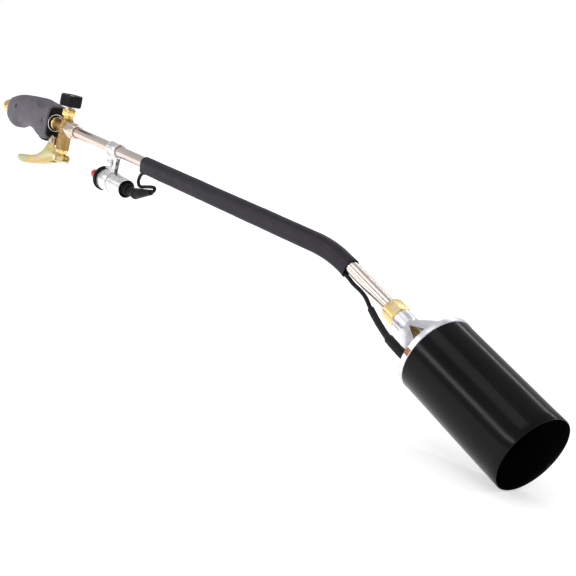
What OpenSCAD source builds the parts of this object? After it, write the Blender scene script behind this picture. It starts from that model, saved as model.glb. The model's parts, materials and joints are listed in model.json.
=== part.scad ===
// Long-handled propane torch: grip, squeeze valve, bent lance, piezo igniter and flame bell.
// Origin at the centre of the gas inlet's mouth. +X runs along the lance towards the bell,
// +Z points up to the flow knob and +Y to the left of a person who holds the grip.

/* [Lance] */
// Outside diameter of the lance tube
lance_od = 12.7; // [12:0.1:13.2]
// Wall of the lance tube
lance_wall = 1.2; // [0.8:0.1:2]
// Height of the lance axis above the inlet axis
lance_lift = 4; // [2:0.5:6]
// Angle by which the burner end turns down
bend_angle = 17.3; // [10:0.1:25]
// Centre-line radius of the bend
bend_r = 145; // [100:5:200]
// Distance from the inlet to the corner of the bend
corner_x = 676; // [560:1:800]

/* [Flame bell] */
// Outside diameter of the bell
bell_od = 69.8; // [66:0.1:72]
// Sheet thickness of the bell
bell_wall = 1; // [0.6:0.1:1.2]
// Visible length of the bell
bell_len = 116; // [80:1:160]
// Distance from the bend's corner to the bell's back edge
bell_start = 155; // [150:1:180]
// Number of legs between the hub and the ring
leg_count = 5; // [4:1:6]

/* [Valve] */
// Distance from the inlet to the valve's upright axis
valve_x = 165.3; // [164:0.1:167]
// Diameter of the plunger barrel
barrel_d = 16; // [15:0.1:17]
// Diameter of the flow knob over its lobes
knob_d = 28.5; // [24:0.1:30]
// Height of the flow knob
knob_h = 13.8; // [12:0.1:15]
// Number of lobes on the flow knob
knob_lobes = 6; // [5:1:9]
// Travel of the squeeze lever in degrees
lever_travel = 12; // [8:1:12]

/* [Grip] */
// Half of the widest width of the grip
grip_half_w = 15; // [13:0.5:17]
// Wall of the grip shells
grip_wall = 2.4; // [2:0.1:3]

/* [Igniter] */
// Distance from the inlet to the middle of the clamp
clamp_x = 287.5; // [284:0.5:290]
// Width of the clamp strap
strap_w = 19; // [14:1:20]
// Drop from the lance axis to the igniter axis
igniter_drop = 36; // [34:0.5:40]
// Outside diameter of the igniter housing
housing_od = 22; // [21:0.1:23]
// Travel of the igniter button
button_travel = 6; // [3:0.5:6]
// Diameter of the ignition lead
lead_d = 3.8; // [3.4:0.1:3.9]

/* [Hidden] */
$fn = 64;
eps = 0.01;
run_gap = 0.05;
joint_skin = 0.02;
joint_reach = 0.4;
wide_skin = 0.1;

lance_r = lance_od / 2;
lance_start = 184.4;
bend_tangent = bend_r * tan(bend_angle / 2);
igniter_z = lance_lift - igniter_drop;

// Inlet fitting, from its mouth at x = 0.
thread_r = 7.14;
thread_len = 11;
inlet_hex_len = 8;
inlet_af = 19;
inlet_bore_r = 3;
spigot_r = 6.5;
tube_r = 4;
tube_socket_x = 26;
tube_bend_x = 60;
tube_bend_r = 30;
tube_end_x = 134;

// Grip sections: distance along x, underside, top, half width as a share of the widest,
// and squareness, where 2 is an ellipse.
grip_sections = [
    [20, -12, 13, 0.66, 2.6], [26, -16.5, 16, 0.84, 2.6], [36, -20.3, 19.5, 0.94, 2.6],
    [48, -20.5, 22.5, 0.98, 2.7], [60, -15.5, 24.2, 1, 2.7], [74, -12.8, 25.8, 1, 2.8],
    [90, -12.6, 27.3, 1, 2.9], [102, -14.5, 28.2, 0.99, 3.1], [112, -18, 27.8, 0.96, 3.4],
    [124, -19, 26.8, 0.93, 3.8], [138, -16.5, 25.6, 0.9, 4.2]
];
grip_front_x = 138;
grip_rear_wall_x = 26;
section_points = 24;
rear_screw = [53, 7.4];
side_screw = [128.15, 4.2];
// Thumb hollows: a ball's middle on the left side, and its radius.
thumb_ball = [117, 32.8, 42.3];
thumb_r = 32;
collar_x = 133.6;
collar_t = 3.9;
boss_r = 8;
clasp_x = 127;
clasp_t = 2.3;
guard_lip = [[99, -12], [102, -16.5], [108, -20], [116, -21.6], [126, -21.2], [134, -19], [134, -12]];
guard_lip_half_w = 4.5;

// Valve body, heights from the lance axis.
barrel_r = barrel_d / 2;
barrel_bottom = -29;
nose_bottom = -32;
chamber_r = 5.2;
seat_z = -3;
gas_way_r = 2.5;
neck_r = 6;
neck_top = 20;
packing_nut_bottom = 14.4;
packing_nut_top = 24.2;
packing_nut_af = 15;
stem_r = 2.2;
stem_bottom = 3.5;
knob_bottom = 26.4;
lobe_r = 5;
stem_top = knob_bottom + 9.6;
knob_top = knob_bottom + knob_h;
plunger_r = 2.4;
plunger_bottom = -45;
pin_z = -37.4;
pin_r = 1.7;
pivot_back = 15.8;
pivot_z = -20;
pivot_r = 2;
cheek_in = 6;
cheek_t = 1.5;
stub_r = 7;
stub_end = lance_start - 0.2;
union_start = 174;
union_end = 195;
union_af = 17.5;

// Side outline of the squeeze lever, from the tip along the top, round the ear and back below.
lever_top = [[67, -53.5], [72, -50.5], [84, -48], [99, -45.5], [113, -42], [124, -37],
             [133, -30], [139, -22], [142, -15]];
lever_bottom = [[67, -55.5], [72, -58], [84, -58.3], [103, -55.3], [120, -51.5], [135, -47.2], [150, -42.3]];
ear_r = 6.2;
fork_front = 175.5;
fork_top = -29.6;
fork_bottom = -38.5;
web_end = 147;

// Igniter, along x.
bezel_x = 272.5;
bezel_t = 4.8;
bezel_r = 14.2;
button_r = 5.1;
button_out_x = 250.5;
button_in_x = 283;
button_bore_end = button_in_x + button_travel + 8;
housing_end = 326;
piezo_end = 321;
stub_tip_x = 345.5;
boot_tilt = 17;
boot_len = 31;

// Where the lead runs beside the lance, as [y, z] from the lance axis.
lead_r = lead_d / 2;
lead_side = [-3.5, -7.7];
sleeve_start = 354;
mouth_x = 362;
mouth_len = 12;
sleeve_reach = 30;
sleeve_t = 1.2;

// Burner end, distances past the corner of the bend.
nut_back = 89;
nut_front = 104;
nut_af = 18;
hub_r = 9.2;
hub_front = 118;
hub_bore_r = 7;
ring_back = bell_start - 5.5;
ring_r = bell_od / 2 + 0.5;
ring_bore_r = 31;
cone_t = 3;
leg_angle = 183;
electrode_y = -28.5;
electrode_z = -5.5;
boot_joint = 138;
clip_angle = 175;

// Route of the lead behind the sleeve, from the terminal boot up to the lance.
lead_rear = [
    [378.2, 0, -22.1], [380.3, 0, -20.3], [380.6, 0.4, -18.2], [378.2, 0.8, -17],
    [371, 1.2, -18], [360, 1.6, -20.6], [352, 1.6, -22.6], [347.4, 1.4, -22], [345.2, 1, -18.5],
    [346.2, 0.5, -14.5], [349.5, -0.6, -10.6], [355, -2, -7.2], [362, -2.9, -5.2], [368, -3.4, -4.1]
];
// Route past the sleeve: distance past the corner, then y and z from the lower axis.
lead_front = [
    [44, -4.1, -8.1], [56, -5.5, -6.9], [67, -8, -6.4], [78, -11.5, -7.4], [90, -15, -8.2],
    [104, -19.5, -8.2], [118, -24.2, -7.2], [128, -27.4, -6], [134, -28.5, -5.5]
];
small_boot_from = 79;
large_boot_from = 121;

// ---------- functions ----------

// A smooth curve through control points: Catmull-Rom with a number of steps for each span.
function curve_point(a, b, c, d, t) =
    0.5 * (2 * b + (c - a) * t + (2 * a - 5 * b + 4 * c - d) * t * t + (3 * b - a - 3 * c + d) * t * t * t);
function smooth(p, steps) = [
    for (i = [0 : len(p) - 2], k = [0 : steps - 1])
        curve_point(p[max(i - 1, 0)], p[i], p[i + 1], p[min(i + 2, len(p) - 1)], k / steps),
    p[len(p) - 1]
];
function reversed(p) = [for (i = [len(p) - 1 : -1 : 0]) p[i]];
function signed_power(v, e) = sign(v) * pow(abs(v), e);

// A point in the lower axis's own directions, given in the part's frame.
function lower_point(d, y, z) = [
    corner_x + d * cos(bend_angle) + z * sin(bend_angle),
    y,
    lance_lift - d * sin(bend_angle) + z * cos(bend_angle)
];
// A point beside the lance in its bend, at an angle from the bend's start.
function bend_point(a, y, z) = [
    corner_x - bend_tangent + (bend_r + z) * sin(a),
    y,
    lance_lift - bend_r + (bend_r + z) * cos(a)
];
// The lead beside the lance: straight, round the bend and straight again.
function lead_middle() = concat(
    [for (x = [mouth_x + mouth_len : 40 : corner_x - bend_tangent - 12])
        [x, lead_side[0], lance_lift + lead_side[1]]],
    [for (k = [0 : 6]) bend_point(bend_angle * k / 6, lead_side[0], lead_side[1])],
    [lower_point(34, lead_side[0], lead_side[1])]
);
function past_corner(p) = lower_point(p[0], p[1], p[2]);
function route_front(from) = [
    for (p = smooth(lead_front, 3)) if (p[0] >= from - eps) past_corner(p),
    lower_point(boot_joint, electrode_y, electrode_z)
];

// ---------- helpers ----------

// Puts children made along +z on the +x axis.
module along_x(x, z = 0) translate([x, 0, z]) rotate([0, 90, 0]) children();
// Puts children made along +z on the y axis, from the low end of y.
module along_y(x, y, z) translate([x, y, z]) rotate([-90, 0, 0]) children();
// Puts children made along +x at the corner of the bend, pointing down the lower axis.
module lower() translate([corner_x, 0, lance_lift]) rotate([0, bend_angle, 0]) children();
module hex(af, h) rotate([0, 0, 30]) cylinder(d = af / cos(30), h = h, $fn = 6);
module ring(r_out, r_in, h) difference() {
    cylinder(r = r_out, h = h);
    translate([0, 0, -1]) cylinder(r = r_in, h = h + 2);
}
// A flat shape drawn in x and z, made thick along y.
module side_plate(outline, y_low, y_high)
    translate([0, y_high, 0]) rotate([90, 0, 0]) linear_extrude(y_high - y_low) polygon(outline);

// A round tube swept along a route, solid where r_in is 0.
module sweep_tube(route, r_out, r_in = 0, sides = 8) {
    last = len(route) - 1;
    tangents = [
        for (i = [0 : last])
            let (d = route[min(i + 1, last)] - route[max(i - 1, 0)]) d / norm(d)
    ];
    rings = [
        for (r = r_in > 0 ? [r_out, r_in] : [r_out], i = [0 : last])
            let (u = cross(tangents[i], [0, 1, 0]), n = u / norm(u), m = cross(tangents[i], n))
            [for (k = [0 : sides - 1]) route[i] + r * (cos(360 * k / sides) * n + sin(360 * k / sides) * m)]
    ];
    points = [for (ring = rings) each ring];
    wall = [
        for (i = [0 : last - 1], k = [0 : sides - 1])
            let (j = (k + 1) % sides)
            [i * sides + k, (i + 1) * sides + k, (i + 1) * sides + j, i * sides + j]
    ];
    inner = (last + 1) * sides;
    inner_wall = [for (f = wall) reversed([for (v = f) v + inner])];
    caps = [
        [for (k = [0 : sides - 1]) k],
        [for (k = [sides - 1 : -1 : 0]) last * sides + k]
    ];
    annuli = [
        for (k = [0 : sides - 1])
            let (j = (k + 1) % sides, e = last * sides)
            each [[k, j, inner + j, inner + k], [e + j, e + k, inner + e + k, inner + e + j]]
    ];
    polyhedron(points, r_in > 0 ? concat(wall, inner_wall, annuli) : concat(wall, caps), convexity = 6);
}

// The grip's outer form, or a smaller one inside it, between two values of x.
module grip_form(inset, x_from, x_to) {
    sections = [for (s = smooth(grip_sections, 2)) if (s[0] > x_from + 1 && s[0] < x_to - 1) s];
    first = section_at(x_from);
    final = section_at(x_to);
    all = concat([first], sections, [final]);
    points = [
        for (s = all, k = [0 : section_points - 1])
            let (a = 360 * k / section_points,
                 half_w = s[3] * grip_half_w - inset,
                 half_h = (s[2] - s[1]) / 2 - inset,
                 mid = (s[2] + s[1]) / 2)
            [s[0], half_w * signed_power(cos(a), 2 / s[4]), mid + half_h * signed_power(sin(a), 2 / s[4])]
    ];
    n = section_points;
    last = len(all) - 1;
    faces = concat(
        [[for (k = [0 : n - 1]) k]],
        [[for (k = [n - 1 : -1 : 0]) last * n + k]],
        [for (i = [0 : last - 1], k = [0 : n - 1])
            [i * n + k, (i + 1) * n + k, (i + 1) * n + (k + 1) % n, i * n + (k + 1) % n]]
    );
    polyhedron(points, faces, convexity = 4);
}
// The grip's section at any x, read off its smooth sections.
function section_at(x) =
    let (all = smooth(grip_sections, 2), i = max([for (k = [0 : len(all) - 2]) if (all[k][0] <= x) k]),
         t = (x - all[i][0]) / (all[i + 1][0] - all[i][0]))
    all[i] + t * (all[i + 1] - all[i]);

// ---------- gas inlet and grip ----------

module inlet_fitting() color("goldenrod") difference() {
    union() {
        along_x(0) cylinder(r = thread_r, h = thread_len);
        along_x(thread_len - eps) hex(inlet_af, inlet_hex_len + eps);
        along_x(thread_len + inlet_hex_len - eps) cylinder(r = spigot_r, h = 18);
        along_x(grip_rear_wall_x + 0.1) cylinder(r = 9, h = 3);
    }
    along_x(-eps) cylinder(r1 = 4.6, r2 = inlet_bore_r, h = 2.4);
    along_x(-1) cylinder(r = inlet_bore_r, h = tube_socket_x + 1.5);
    along_x(tube_socket_x + 0.5) cylinder(r = tube_r, h = 20);
}

// The tube rises in a shallow double bend from the inlet axis to the lance axis. The two bends
// stop short of each other, and a short straight piece joins them.
module inlet_tube() {
    turn = acos(1 - lance_lift / (2 * tube_bend_r));
    half_turn = turn - 2 * reach_angle(tube_bend_r);
    rise_len = 2 * tube_bend_r * sin(turn);
    start = tube_socket_x + 1;
    color("peru") {
        along_x(start) ring(tube_r, inlet_bore_r, tube_bend_x - start);
        translate([tube_bend_x, 0, tube_bend_r]) in_xz(-90)
            tube_arc(half_turn, tube_bend_r, tube_r, inlet_bore_r, wide_skin);
        translate([tube_bend_x + rise_len / 2, 0, lance_lift / 2]) rotate([0, 90 - turn, 0])
            translate([0, 0, -2 * joint_reach]) ring(tube_r, inlet_bore_r, 4 * joint_reach);
        translate([tube_bend_x + rise_len, 0, lance_lift - tube_bend_r]) in_xz(90)
            tube_arc(half_turn, tube_bend_r, tube_r, inlet_bore_r, wide_skin);
        along_x(tube_bend_x + rise_len, lance_lift)
            ring(tube_r, inlet_bore_r, tube_end_x - tube_bend_x - rise_len);
    }
}
// Stands a bend on the x-z plane and turns it to its start angle.
module in_xz(start) rotate([90, 0, 0]) rotate([0, 0, start]) children();
// A bend reaches a little into the straight tubes at its ends, just inside their walls.
module tube_arc(angle, r, r_out, r_in, skin = joint_skin) bend_arc(angle, r) difference() {
    circle(r = r_out - skin);
    circle(r = r_in + skin);
}
module bend_arc(angle, r) {
    extra = reach_angle(r);
    rotate([0, 0, -extra]) rotate_extrude(angle = angle + 2 * extra, $fn = 96)
        translate([r, 0]) children();
}
function reach_angle(r) = joint_reach / r * 180 / PI;

// Both shells together: side is 1 for the left half and -1 for the right half.
module grip_half(side) difference() {
    intersection() {
        grip_form(0, 20, grip_front_x);
        translate([0, side > 0 ? 0 : -40, -60]) cube([200, 40, 120]);
    }
    difference() {
        grip_form(grip_wall, grip_rear_wall_x, grip_front_x + 2 * eps);
        translate([clasp_x, -30, -40]) cube([clasp_t, 60, 80]);
        along_y(rear_screw[0], -20, rear_screw[1]) cylinder(r = 3.2, h = 40);
        at_side_screw(side, 20) cylinder(r = 3.2, h = 11.6);
        thumb_hollow(side, 2.2);
    }
    along_x(0) cylinder(r = spigot_r, h = 40);
    along_x(clasp_x - 1, lance_lift) cylinder(r = boss_r - 1.5, h = 5);
    side_plate(guard_lip, -guard_lip_half_w - 0.05, guard_lip_half_w + 0.05);
    along_y(rear_screw[0], -20, rear_screw[1]) cylinder(r = 1.5, h = 31);
    along_y(rear_screw[0], -20, rear_screw[1]) cylinder(r = 3, h = 9.2);
    at_side_screw(side, 20) cylinder(r = 1.5, h = 12);
    at_side_screw(side, 20) cylinder(r = 3, h = 9.2);
    thumb_hollow(side, 0);
}
// Puts children at a side screw, a distance out from the middle, pointing inwards.
module at_side_screw(side, out) translate([side_screw[0], side * out, side_screw[1]])
    rotate([side * 90, 0, 0]) children();
module thumb_hollow(side, wall) translate([thumb_ball[0], side * thumb_ball[1], thumb_ball[2]])
    sphere(r = thumb_r + wall);
module grip_left_half() color([0.40, 0.39, 0.42]) grip_half(1);
module grip_right_half() color([0.40, 0.39, 0.42]) grip_half(-1);

// One screw joins the shells at the back, and one in each side pins its shell to the valve.
module grip_screws() color("silver") {
    along_y(rear_screw[0], -12.8, rear_screw[1]) socket_screw(21.8);
    for (side = [-1, 1]) at_side_screw(side, 12.8) socket_screw(4.7);
}
module socket_screw(length) difference() {
    union() {
        cylinder(r = 2.9, h = 2);
        cylinder(r = 1.5, h = length);
    }
    translate([0, 0, -eps]) hex(2.5, 1.2);
}

// Black front plate with the finger guard's lip along the parting line.
module front_collar() color([0.05, 0.05, 0.05]) difference() {
    union() {
        intersection() {
            grip_form(grip_wall, collar_x - 2, grip_front_x);
            translate([collar_x, -30, -40]) cube([collar_t, 60, 80]);
        }
        side_plate(guard_lip, -guard_lip_half_w, guard_lip_half_w);
    }
    along_x(collar_x - 1, lance_lift) cylinder(r = 9.7, h = 10);
    along_x(collar_x + 2, lance_lift) cylinder(r = 10.8, h = 10);
    translate([clasp_x - 0.1, -30, -14]) cube([clasp_t + 0.2, 60, 20]);
}

module mounting_ring() color("lightgrey")
    along_x(collar_x + 2, lance_lift) ring(10.8, 9.7, 2.9);

// ---------- valve ----------

module at_valve() translate([valve_x, 0, lance_lift]) children();

module valve_body() color([0.72, 0.55, 0.33]) difference() {
    union() {
        along_x(clasp_x - 3, lance_lift) cylinder(r = boss_r, h = 146 - clasp_x + 3);
        along_x(142, lance_lift) cylinder(r = 6.6, h = valve_x - 142);
        at_valve() sphere(r = 9.4);
        at_valve() translate([0, 0, barrel_bottom]) cylinder(r = barrel_r, h = -barrel_bottom);
        at_valve() cylinder(r = barrel_r - 0.4, h = 10);
        at_valve() cylinder(r = neck_r, h = neck_top);
        along_x(valve_x, lance_lift) cylinder(r = stub_r + 1.4, h = union_start - valve_x - 0.4);
        along_x(valve_x, lance_lift) cylinder(r = stub_r, h = stub_end - valve_x);
        pivot_lug();
    }
    along_x(clasp_x - 0.1, lance_lift) ring(20, boss_r - 1.5, clasp_t + 0.2);
    along_x(clasp_x - 4, lance_lift) cylinder(r = tube_r, h = tube_end_x - clasp_x + 4);
    along_x(clasp_x, lance_lift) cylinder(r = gas_way_r, h = valve_x - clasp_x);
    at_valve() translate([0, 0, barrel_bottom - 1]) cylinder(r = 6, h = 9);
    at_valve() translate([0, 0, barrel_bottom]) cylinder(r = chamber_r, h = seat_z - barrel_bottom);
    at_valve() translate([0, 0, seat_z - 1]) cylinder(r = 2, h = 9);
    at_valve() translate([0, 0, 2]) cylinder(r = stem_r + run_gap, h = 30);
    at_valve() translate([0, 0, neck_top - 4]) cylinder(r = 4.2, h = 10);
    along_x(valve_x + 1, lance_lift) cylinder(r = gas_way_r, h = 30);
    along_y(valve_x - pivot_back, -10, lance_lift + pivot_z) cylinder(r = pivot_r, h = 20);
}
// Lug on the back of the barrel that carries the lever's pivot pin.
module pivot_lug() {
    along_y(valve_x - pivot_back, -cheek_in + 0.4, lance_lift + pivot_z)
        cylinder(r = 4.4, h = 2 * cheek_in - 0.8);
    translate([valve_x - pivot_back, -cheek_in + 0.4, lance_lift + pivot_z - 4.3])
        cube([pivot_back - 4, 2 * cheek_in - 0.8, 8.6]);
}

module needle_stem() color("silver") at_valve() difference() {
    union() {
        translate([0, 0, stem_bottom + 2]) cylinder(r = stem_r, h = stem_top - stem_bottom - 2);
        translate([0, 0, stem_bottom]) cylinder(r1 = 0.6, r2 = stem_r, h = 2 + eps);
    }
    translate([0, 0, stem_top - 7]) cylinder(r = 1.5, h = 8);
}
module stem_packing() color("white") at_valve()
    translate([0, 0, neck_top - 4]) ring(4.2, stem_r + run_gap, 4.4);
module packing_nut() color([0.9, 0.75, 0.3]) at_valve() difference() {
    union() {
        translate([0, 0, packing_nut_bottom]) hex(packing_nut_af, packing_nut_top - packing_nut_bottom - 1.5);
        translate([0, 0, packing_nut_top - 1.6]) cylinder(r = packing_nut_af / 2 - 1, h = 1.6);
    }
    translate([0, 0, packing_nut_bottom - 1])
        cylinder(r = neck_r + 0.02, h = neck_top - packing_nut_bottom + 1.4);
    cylinder(r = stem_r + run_gap, h = 40);
}
module flow_knob() color([0.06, 0.06, 0.06]) at_valve() difference() {
    union() {
        translate([0, 0, knob_bottom]) cylinder(r = knob_d / 2 - 1.6, h = knob_h);
        for (k = [0 : knob_lobes - 1]) rotate([0, 0, 360 * (k + 0.5) / knob_lobes])
            translate([knob_d / 2 - lobe_r, 0, knob_bottom + 0.6]) cylinder(r = lobe_r, h = knob_h - 1.2);
    }
    translate([0, 0, knob_bottom - 1]) cylinder(r = stem_r, h = stem_top - knob_bottom + 1);
    translate([0, 0, knob_bottom]) cylinder(r = 1.6, h = knob_h);
    translate([0, 0, knob_top - 1.8]) cylinder(r = 4.4, h = 3);
}
module knob_screw() color("silver") at_valve() {
    translate([0, 0, stem_top - 5]) cylinder(r = 1.5, h = knob_top - stem_top + 3.4);
    difference() {
        translate([0, 0, knob_top - 1.8]) cylinder(r = 3, h = 1.6);
        translate([-3, -0.4, knob_top - 0.8]) cube([6, 0.8, 2]);
    }
}

// ---------- squeeze lever and plunger ----------

module plunger() color("peru") at_valve() difference() {
    union() {
        translate([0, 0, plunger_bottom]) cylinder(r = plunger_r, h = seat_z - 2.6 - plunger_bottom);
        translate([0, 0, seat_z - 4.6]) cylinder(r = 4.8, h = 2.6);
        translate([0, 0, pin_z - 3]) cylinder(r = 3.8, h = 6);
    }
    along_y(0, -10, pin_z) cylinder(r = pin_r, h = 20);
}
module plunger_seal() color([0.1, 0.1, 0.1]) at_valve()
    translate([0, 0, seat_z - 2]) cylinder(r = 4.6, h = 1.9);
module plunger_gland() color([0.9, 0.75, 0.3]) at_valve() difference() {
    union() {
        translate([0, 0, nose_bottom]) cylinder(r1 = 6.2, r2 = 7, h = 1);
        translate([0, 0, nose_bottom + 1 - eps]) cylinder(r = 7, h = barrel_bottom - nose_bottom - 1 + eps);
        translate([0, 0, barrel_bottom - eps]) cylinder(r = 6, h = 6);
    }
    translate([0, 0, -60]) cylinder(r = plunger_r + run_gap, h = 60);
}
module plunger_nut() color("gainsboro") at_valve() difference() {
    translate([0, 0, plunger_bottom - 0.5]) hex(7.5, 5);
    translate([0, 0, plunger_bottom - 1]) cylinder(r = plunger_r, h = 8);
}
// Return spring between the gland and the plunger's head.
module plunger_spring() color("silver") at_valve() coil_spring(4.2, 0.5, barrel_bottom + 6, seat_z - 4.6, 6);
module coil_spring(r, wire_r, z_low, z_high, turns) {
    pitch = (z_high - z_low - 2 * wire_r) / turns;
    steps = 12;
    route = [
        for (i = [0 : turns * steps])
            [r * cos(360 * i / steps), r * sin(360 * i / steps), z_low + wire_r + pitch * i / steps]
    ];
    n = 6;
    last = len(route) - 1;
    points = [
        for (p = route, k = [0 : n - 1])
            let (out = [p[0], p[1], 0] / norm([p[0], p[1]]))
            p + wire_r * (cos(360 * k / n) * out + sin(360 * k / n) * [0, 0, 1])
    ];
    faces = concat(
        [[for (k = [n - 1 : -1 : 0]) k]],
        [[for (k = [0 : n - 1]) last * n + k]],
        [for (i = [0 : last - 1], k = [0 : n - 1])
            [i * n + k, i * n + (k + 1) % n, (i + 1) * n + (k + 1) % n, (i + 1) * n + k]]
    );
    polyhedron(points, faces, convexity = 10);
}
module cross_pin() color("goldenrod") {
    along_y(valve_x, -9.6, lance_lift + pin_z) cylinder(r = pin_r, h = 18.2);
    along_y(valve_x, 8.2, lance_lift + pin_z) cylinder(r = 3.2, h = 2.4);
}
module pin_clip() color("gainsboro")
    along_y(valve_x, -9.3, lance_lift + pin_z) ring(3.1, pin_r, 0.9);

function lever_outline() = concat(
    smooth(lever_top, 3),
    [for (a = [165 : -15 : 0]) ear_centre() + ear_r * [cos(a), sin(a)]],
    [[156.6, -22], [158.4, fork_top - 0.5], [160, fork_top],
     [fork_front - 2, fork_top], [fork_front, fork_top - 2],
     [fork_front, fork_bottom + 3], [fork_front - 3, fork_bottom], [163, fork_bottom + 0.4]],
    reversed(smooth(lever_bottom, 3))
);
function ear_centre() = [valve_x - pivot_back, lance_lift + pivot_z];
module squeeze_lever() color([0.82, 0.83, 0.6]) difference() {
    union() {
        side_plate(lever_outline(), cheek_in, cheek_in + cheek_t);
        side_plate(lever_outline(), -cheek_in - cheek_t, -cheek_in);
        intersection() {
            side_plate(lever_outline(), -cheek_in - cheek_t, cheek_in + cheek_t);
            side_plate(lever_web(), -cheek_in - cheek_t, cheek_in + cheek_t);
        }
    }
    along_y(ear_centre()[0], -10, ear_centre()[1]) cylinder(r = pivot_r + run_gap, h = 20);
    side_plate(lever_slot(), -10, 10);
}
// The web closes the channel along the lever's underside and at its tip.
function lever_web() = concat(
    [[60, -60], [60, -50]],
    [for (p = smooth(lever_bottom, 3)) if (p[0] > 70 && p[0] < web_end) p + [0, cheek_t]],
    [[web_end, -60]]
);
// The fork's slot lets the cross pin move along the lever while it rides down with it.
function lever_slot() =
    let (c = [valve_x, lance_lift + pin_z], r = pin_r + 0.55)
    concat(
        [for (a = [90 : 15 : 270]) c + r * [cos(a), sin(a)]],
        [for (a = [-90 : 15 : 90]) c + pin_shift() + r * [cos(a), sin(a)]]
    );
// Where the pin, which drops straight down, ends in the turned lever's own x and z.
function pin_shift() =
    let (t = lever_travel, low = pin_z - pivot_z - pivot_back * t * PI / 180)
    [pivot_back * cos(t) - low * sin(t), pivot_back * sin(t) + low * cos(t)]
        - [pivot_back, pin_z - pivot_z];
module lever_pin() color("silver")
    along_y(ear_centre()[0], -8.6, ear_centre()[1]) {
        cylinder(r = pivot_r, h = 17.2);
        translate([0, 0, -1]) cylinder(r = 3, h = 1 + eps);
        translate([0, 0, 17.2 - eps]) cylinder(r = 3, h = 1);
    }

// ---------- lance ----------

module union_nut() color("gainsboro") difference() {
    union() {
        along_x(union_start, lance_lift) hex(union_af, 15);
        along_x(union_start + 15 - eps, lance_lift)
            cylinder(r = union_af / 2 - 0.2, h = union_end - union_start - 15);
    }
    along_x(union_start - 1, lance_lift) cylinder(r = stub_r + 0.02, h = 17.2);
    along_x(union_start, lance_lift) cylinder(r = lance_r + 0.1, h = 30);
}
module union_ferrule() color("goldenrod")
    along_x(stub_end + 1.6, lance_lift) ring(stub_r - 0.2, lance_r, 4.2);

module lance_tube() color([0.78, 0.73, 0.70]) {
    straight = corner_x - bend_tangent - lance_start;
    along_x(lance_start, lance_lift) ring(lance_r, lance_r - lance_wall, straight);
    translate([corner_x - bend_tangent, 0, lance_lift - bend_r]) in_xz(90 - bend_angle)
        tube_arc(bend_angle, bend_r, lance_r, lance_r - lance_wall);
    lower() along_x(bend_tangent) ring(lance_r, lance_r - lance_wall, nut_front - 5 - bend_tangent);
}

// Section of the sleeve, drawn with x up and y to the left as seen from behind.
module sleeve_section(skin = 0) {
    lead_at = [lead_side[1], lead_side[0]];
    reach = norm(lead_at);
    toward = lead_at / reach;
    big = lance_r + sleeve_t - skin;
    small = lead_r + 0.1 + sleeve_t - skin;
    lean = acos((big - small) / reach);
    side = [-toward[1], toward[0]];
    difference() {
        union() {
            circle(r = big);
            translate(lead_at) circle(r = small);
            polygon(concat(
                [for (s = [-1, 1]) 0.985 * big * (cos(lean) * toward + s * sin(lean) * side)],
                [for (s = [1, -1]) lead_at + 0.97 * small * (cos(lean) * toward + s * sin(lean) * side)]
            ));
        }
        circle(r = lance_r + skin);
        translate(lead_at) circle(r = lead_r + 0.1 + skin);
        polygon([for (c = [[1, 0.8], [1, -0.8], [-1, -0.8], [-1, 0.8]])
            toward * (lance_r + c[0]) + side * (c[1] + skin * sign(c[1]))]);
    }
}
module heat_shrink_sleeve() color([0.22, 0.21, 0.23]) {
    along_x(sleeve_start, lance_lift) ring(lance_r + sleeve_t, lance_r, mouth_x - sleeve_start + 1);
    difference() {
        union() {
            translate([mouth_x, 0, lance_lift]) sleeve_straight(corner_x - bend_tangent - mouth_x);
            at_lead(mouth_x) cylinder(r1 = 4.9, r2 = lead_r + 0.1 + sleeve_t, h = mouth_len);
        }
        at_lead(mouth_x - eps) cylinder(r1 = 4, r2 = lead_r + 0.1, h = mouth_len);
        along_x(mouth_x - 1, lance_lift) cylinder(r = lance_r, h = mouth_len + 2);
    }
    translate([corner_x - bend_tangent, 0, lance_lift - bend_r]) in_xz(90 - bend_angle)
        bend_arc(bend_angle, bend_r) mirror([0, 1]) sleeve_section(wide_skin);
    lower() translate([bend_tangent, 0, 0]) sleeve_straight(sleeve_reach - bend_tangent);
}
module at_lead(x) translate([0, lead_side[0], 0]) along_x(x, lance_lift + lead_side[1]) children();
module sleeve_straight(length) multmatrix([[0, 0, 1, 0], [0, 1, 0, 0], [1, 0, 0, 0]])
    mirror([0, 0, 1]) translate([0, 0, -length]) linear_extrude(length) sleeve_section();

// ---------- igniter ----------

module clamp_strap() color("gainsboro") difference() {
    union() {
        strap_prism(strap_w) {
            circle(r = lance_r + 1.3);
            translate([igniter_drop, 0]) circle(r = housing_od / 2 + 1.3);
            translate([0, -3.2]) square([igniter_drop, 6.4]);
        }
        for (end = [-1, 1]) along_x(clamp_x + end * (strap_w / 2 - 0.8) - 0.8, lance_lift)
            cylinder(r = lance_r + 2.2, h = 1.6);
    }
    strap_prism(strap_w + 4) {
        circle(r = lance_r + 0.05);
        translate([igniter_drop, 0]) circle(r = housing_od / 2 + 0.05);
        translate([0, -2]) square([igniter_drop, 4]);
    }
    along_y(clamp_x, -10, clamp_bolt_z()) cylinder(r = 2.6, h = 20);
}
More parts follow.
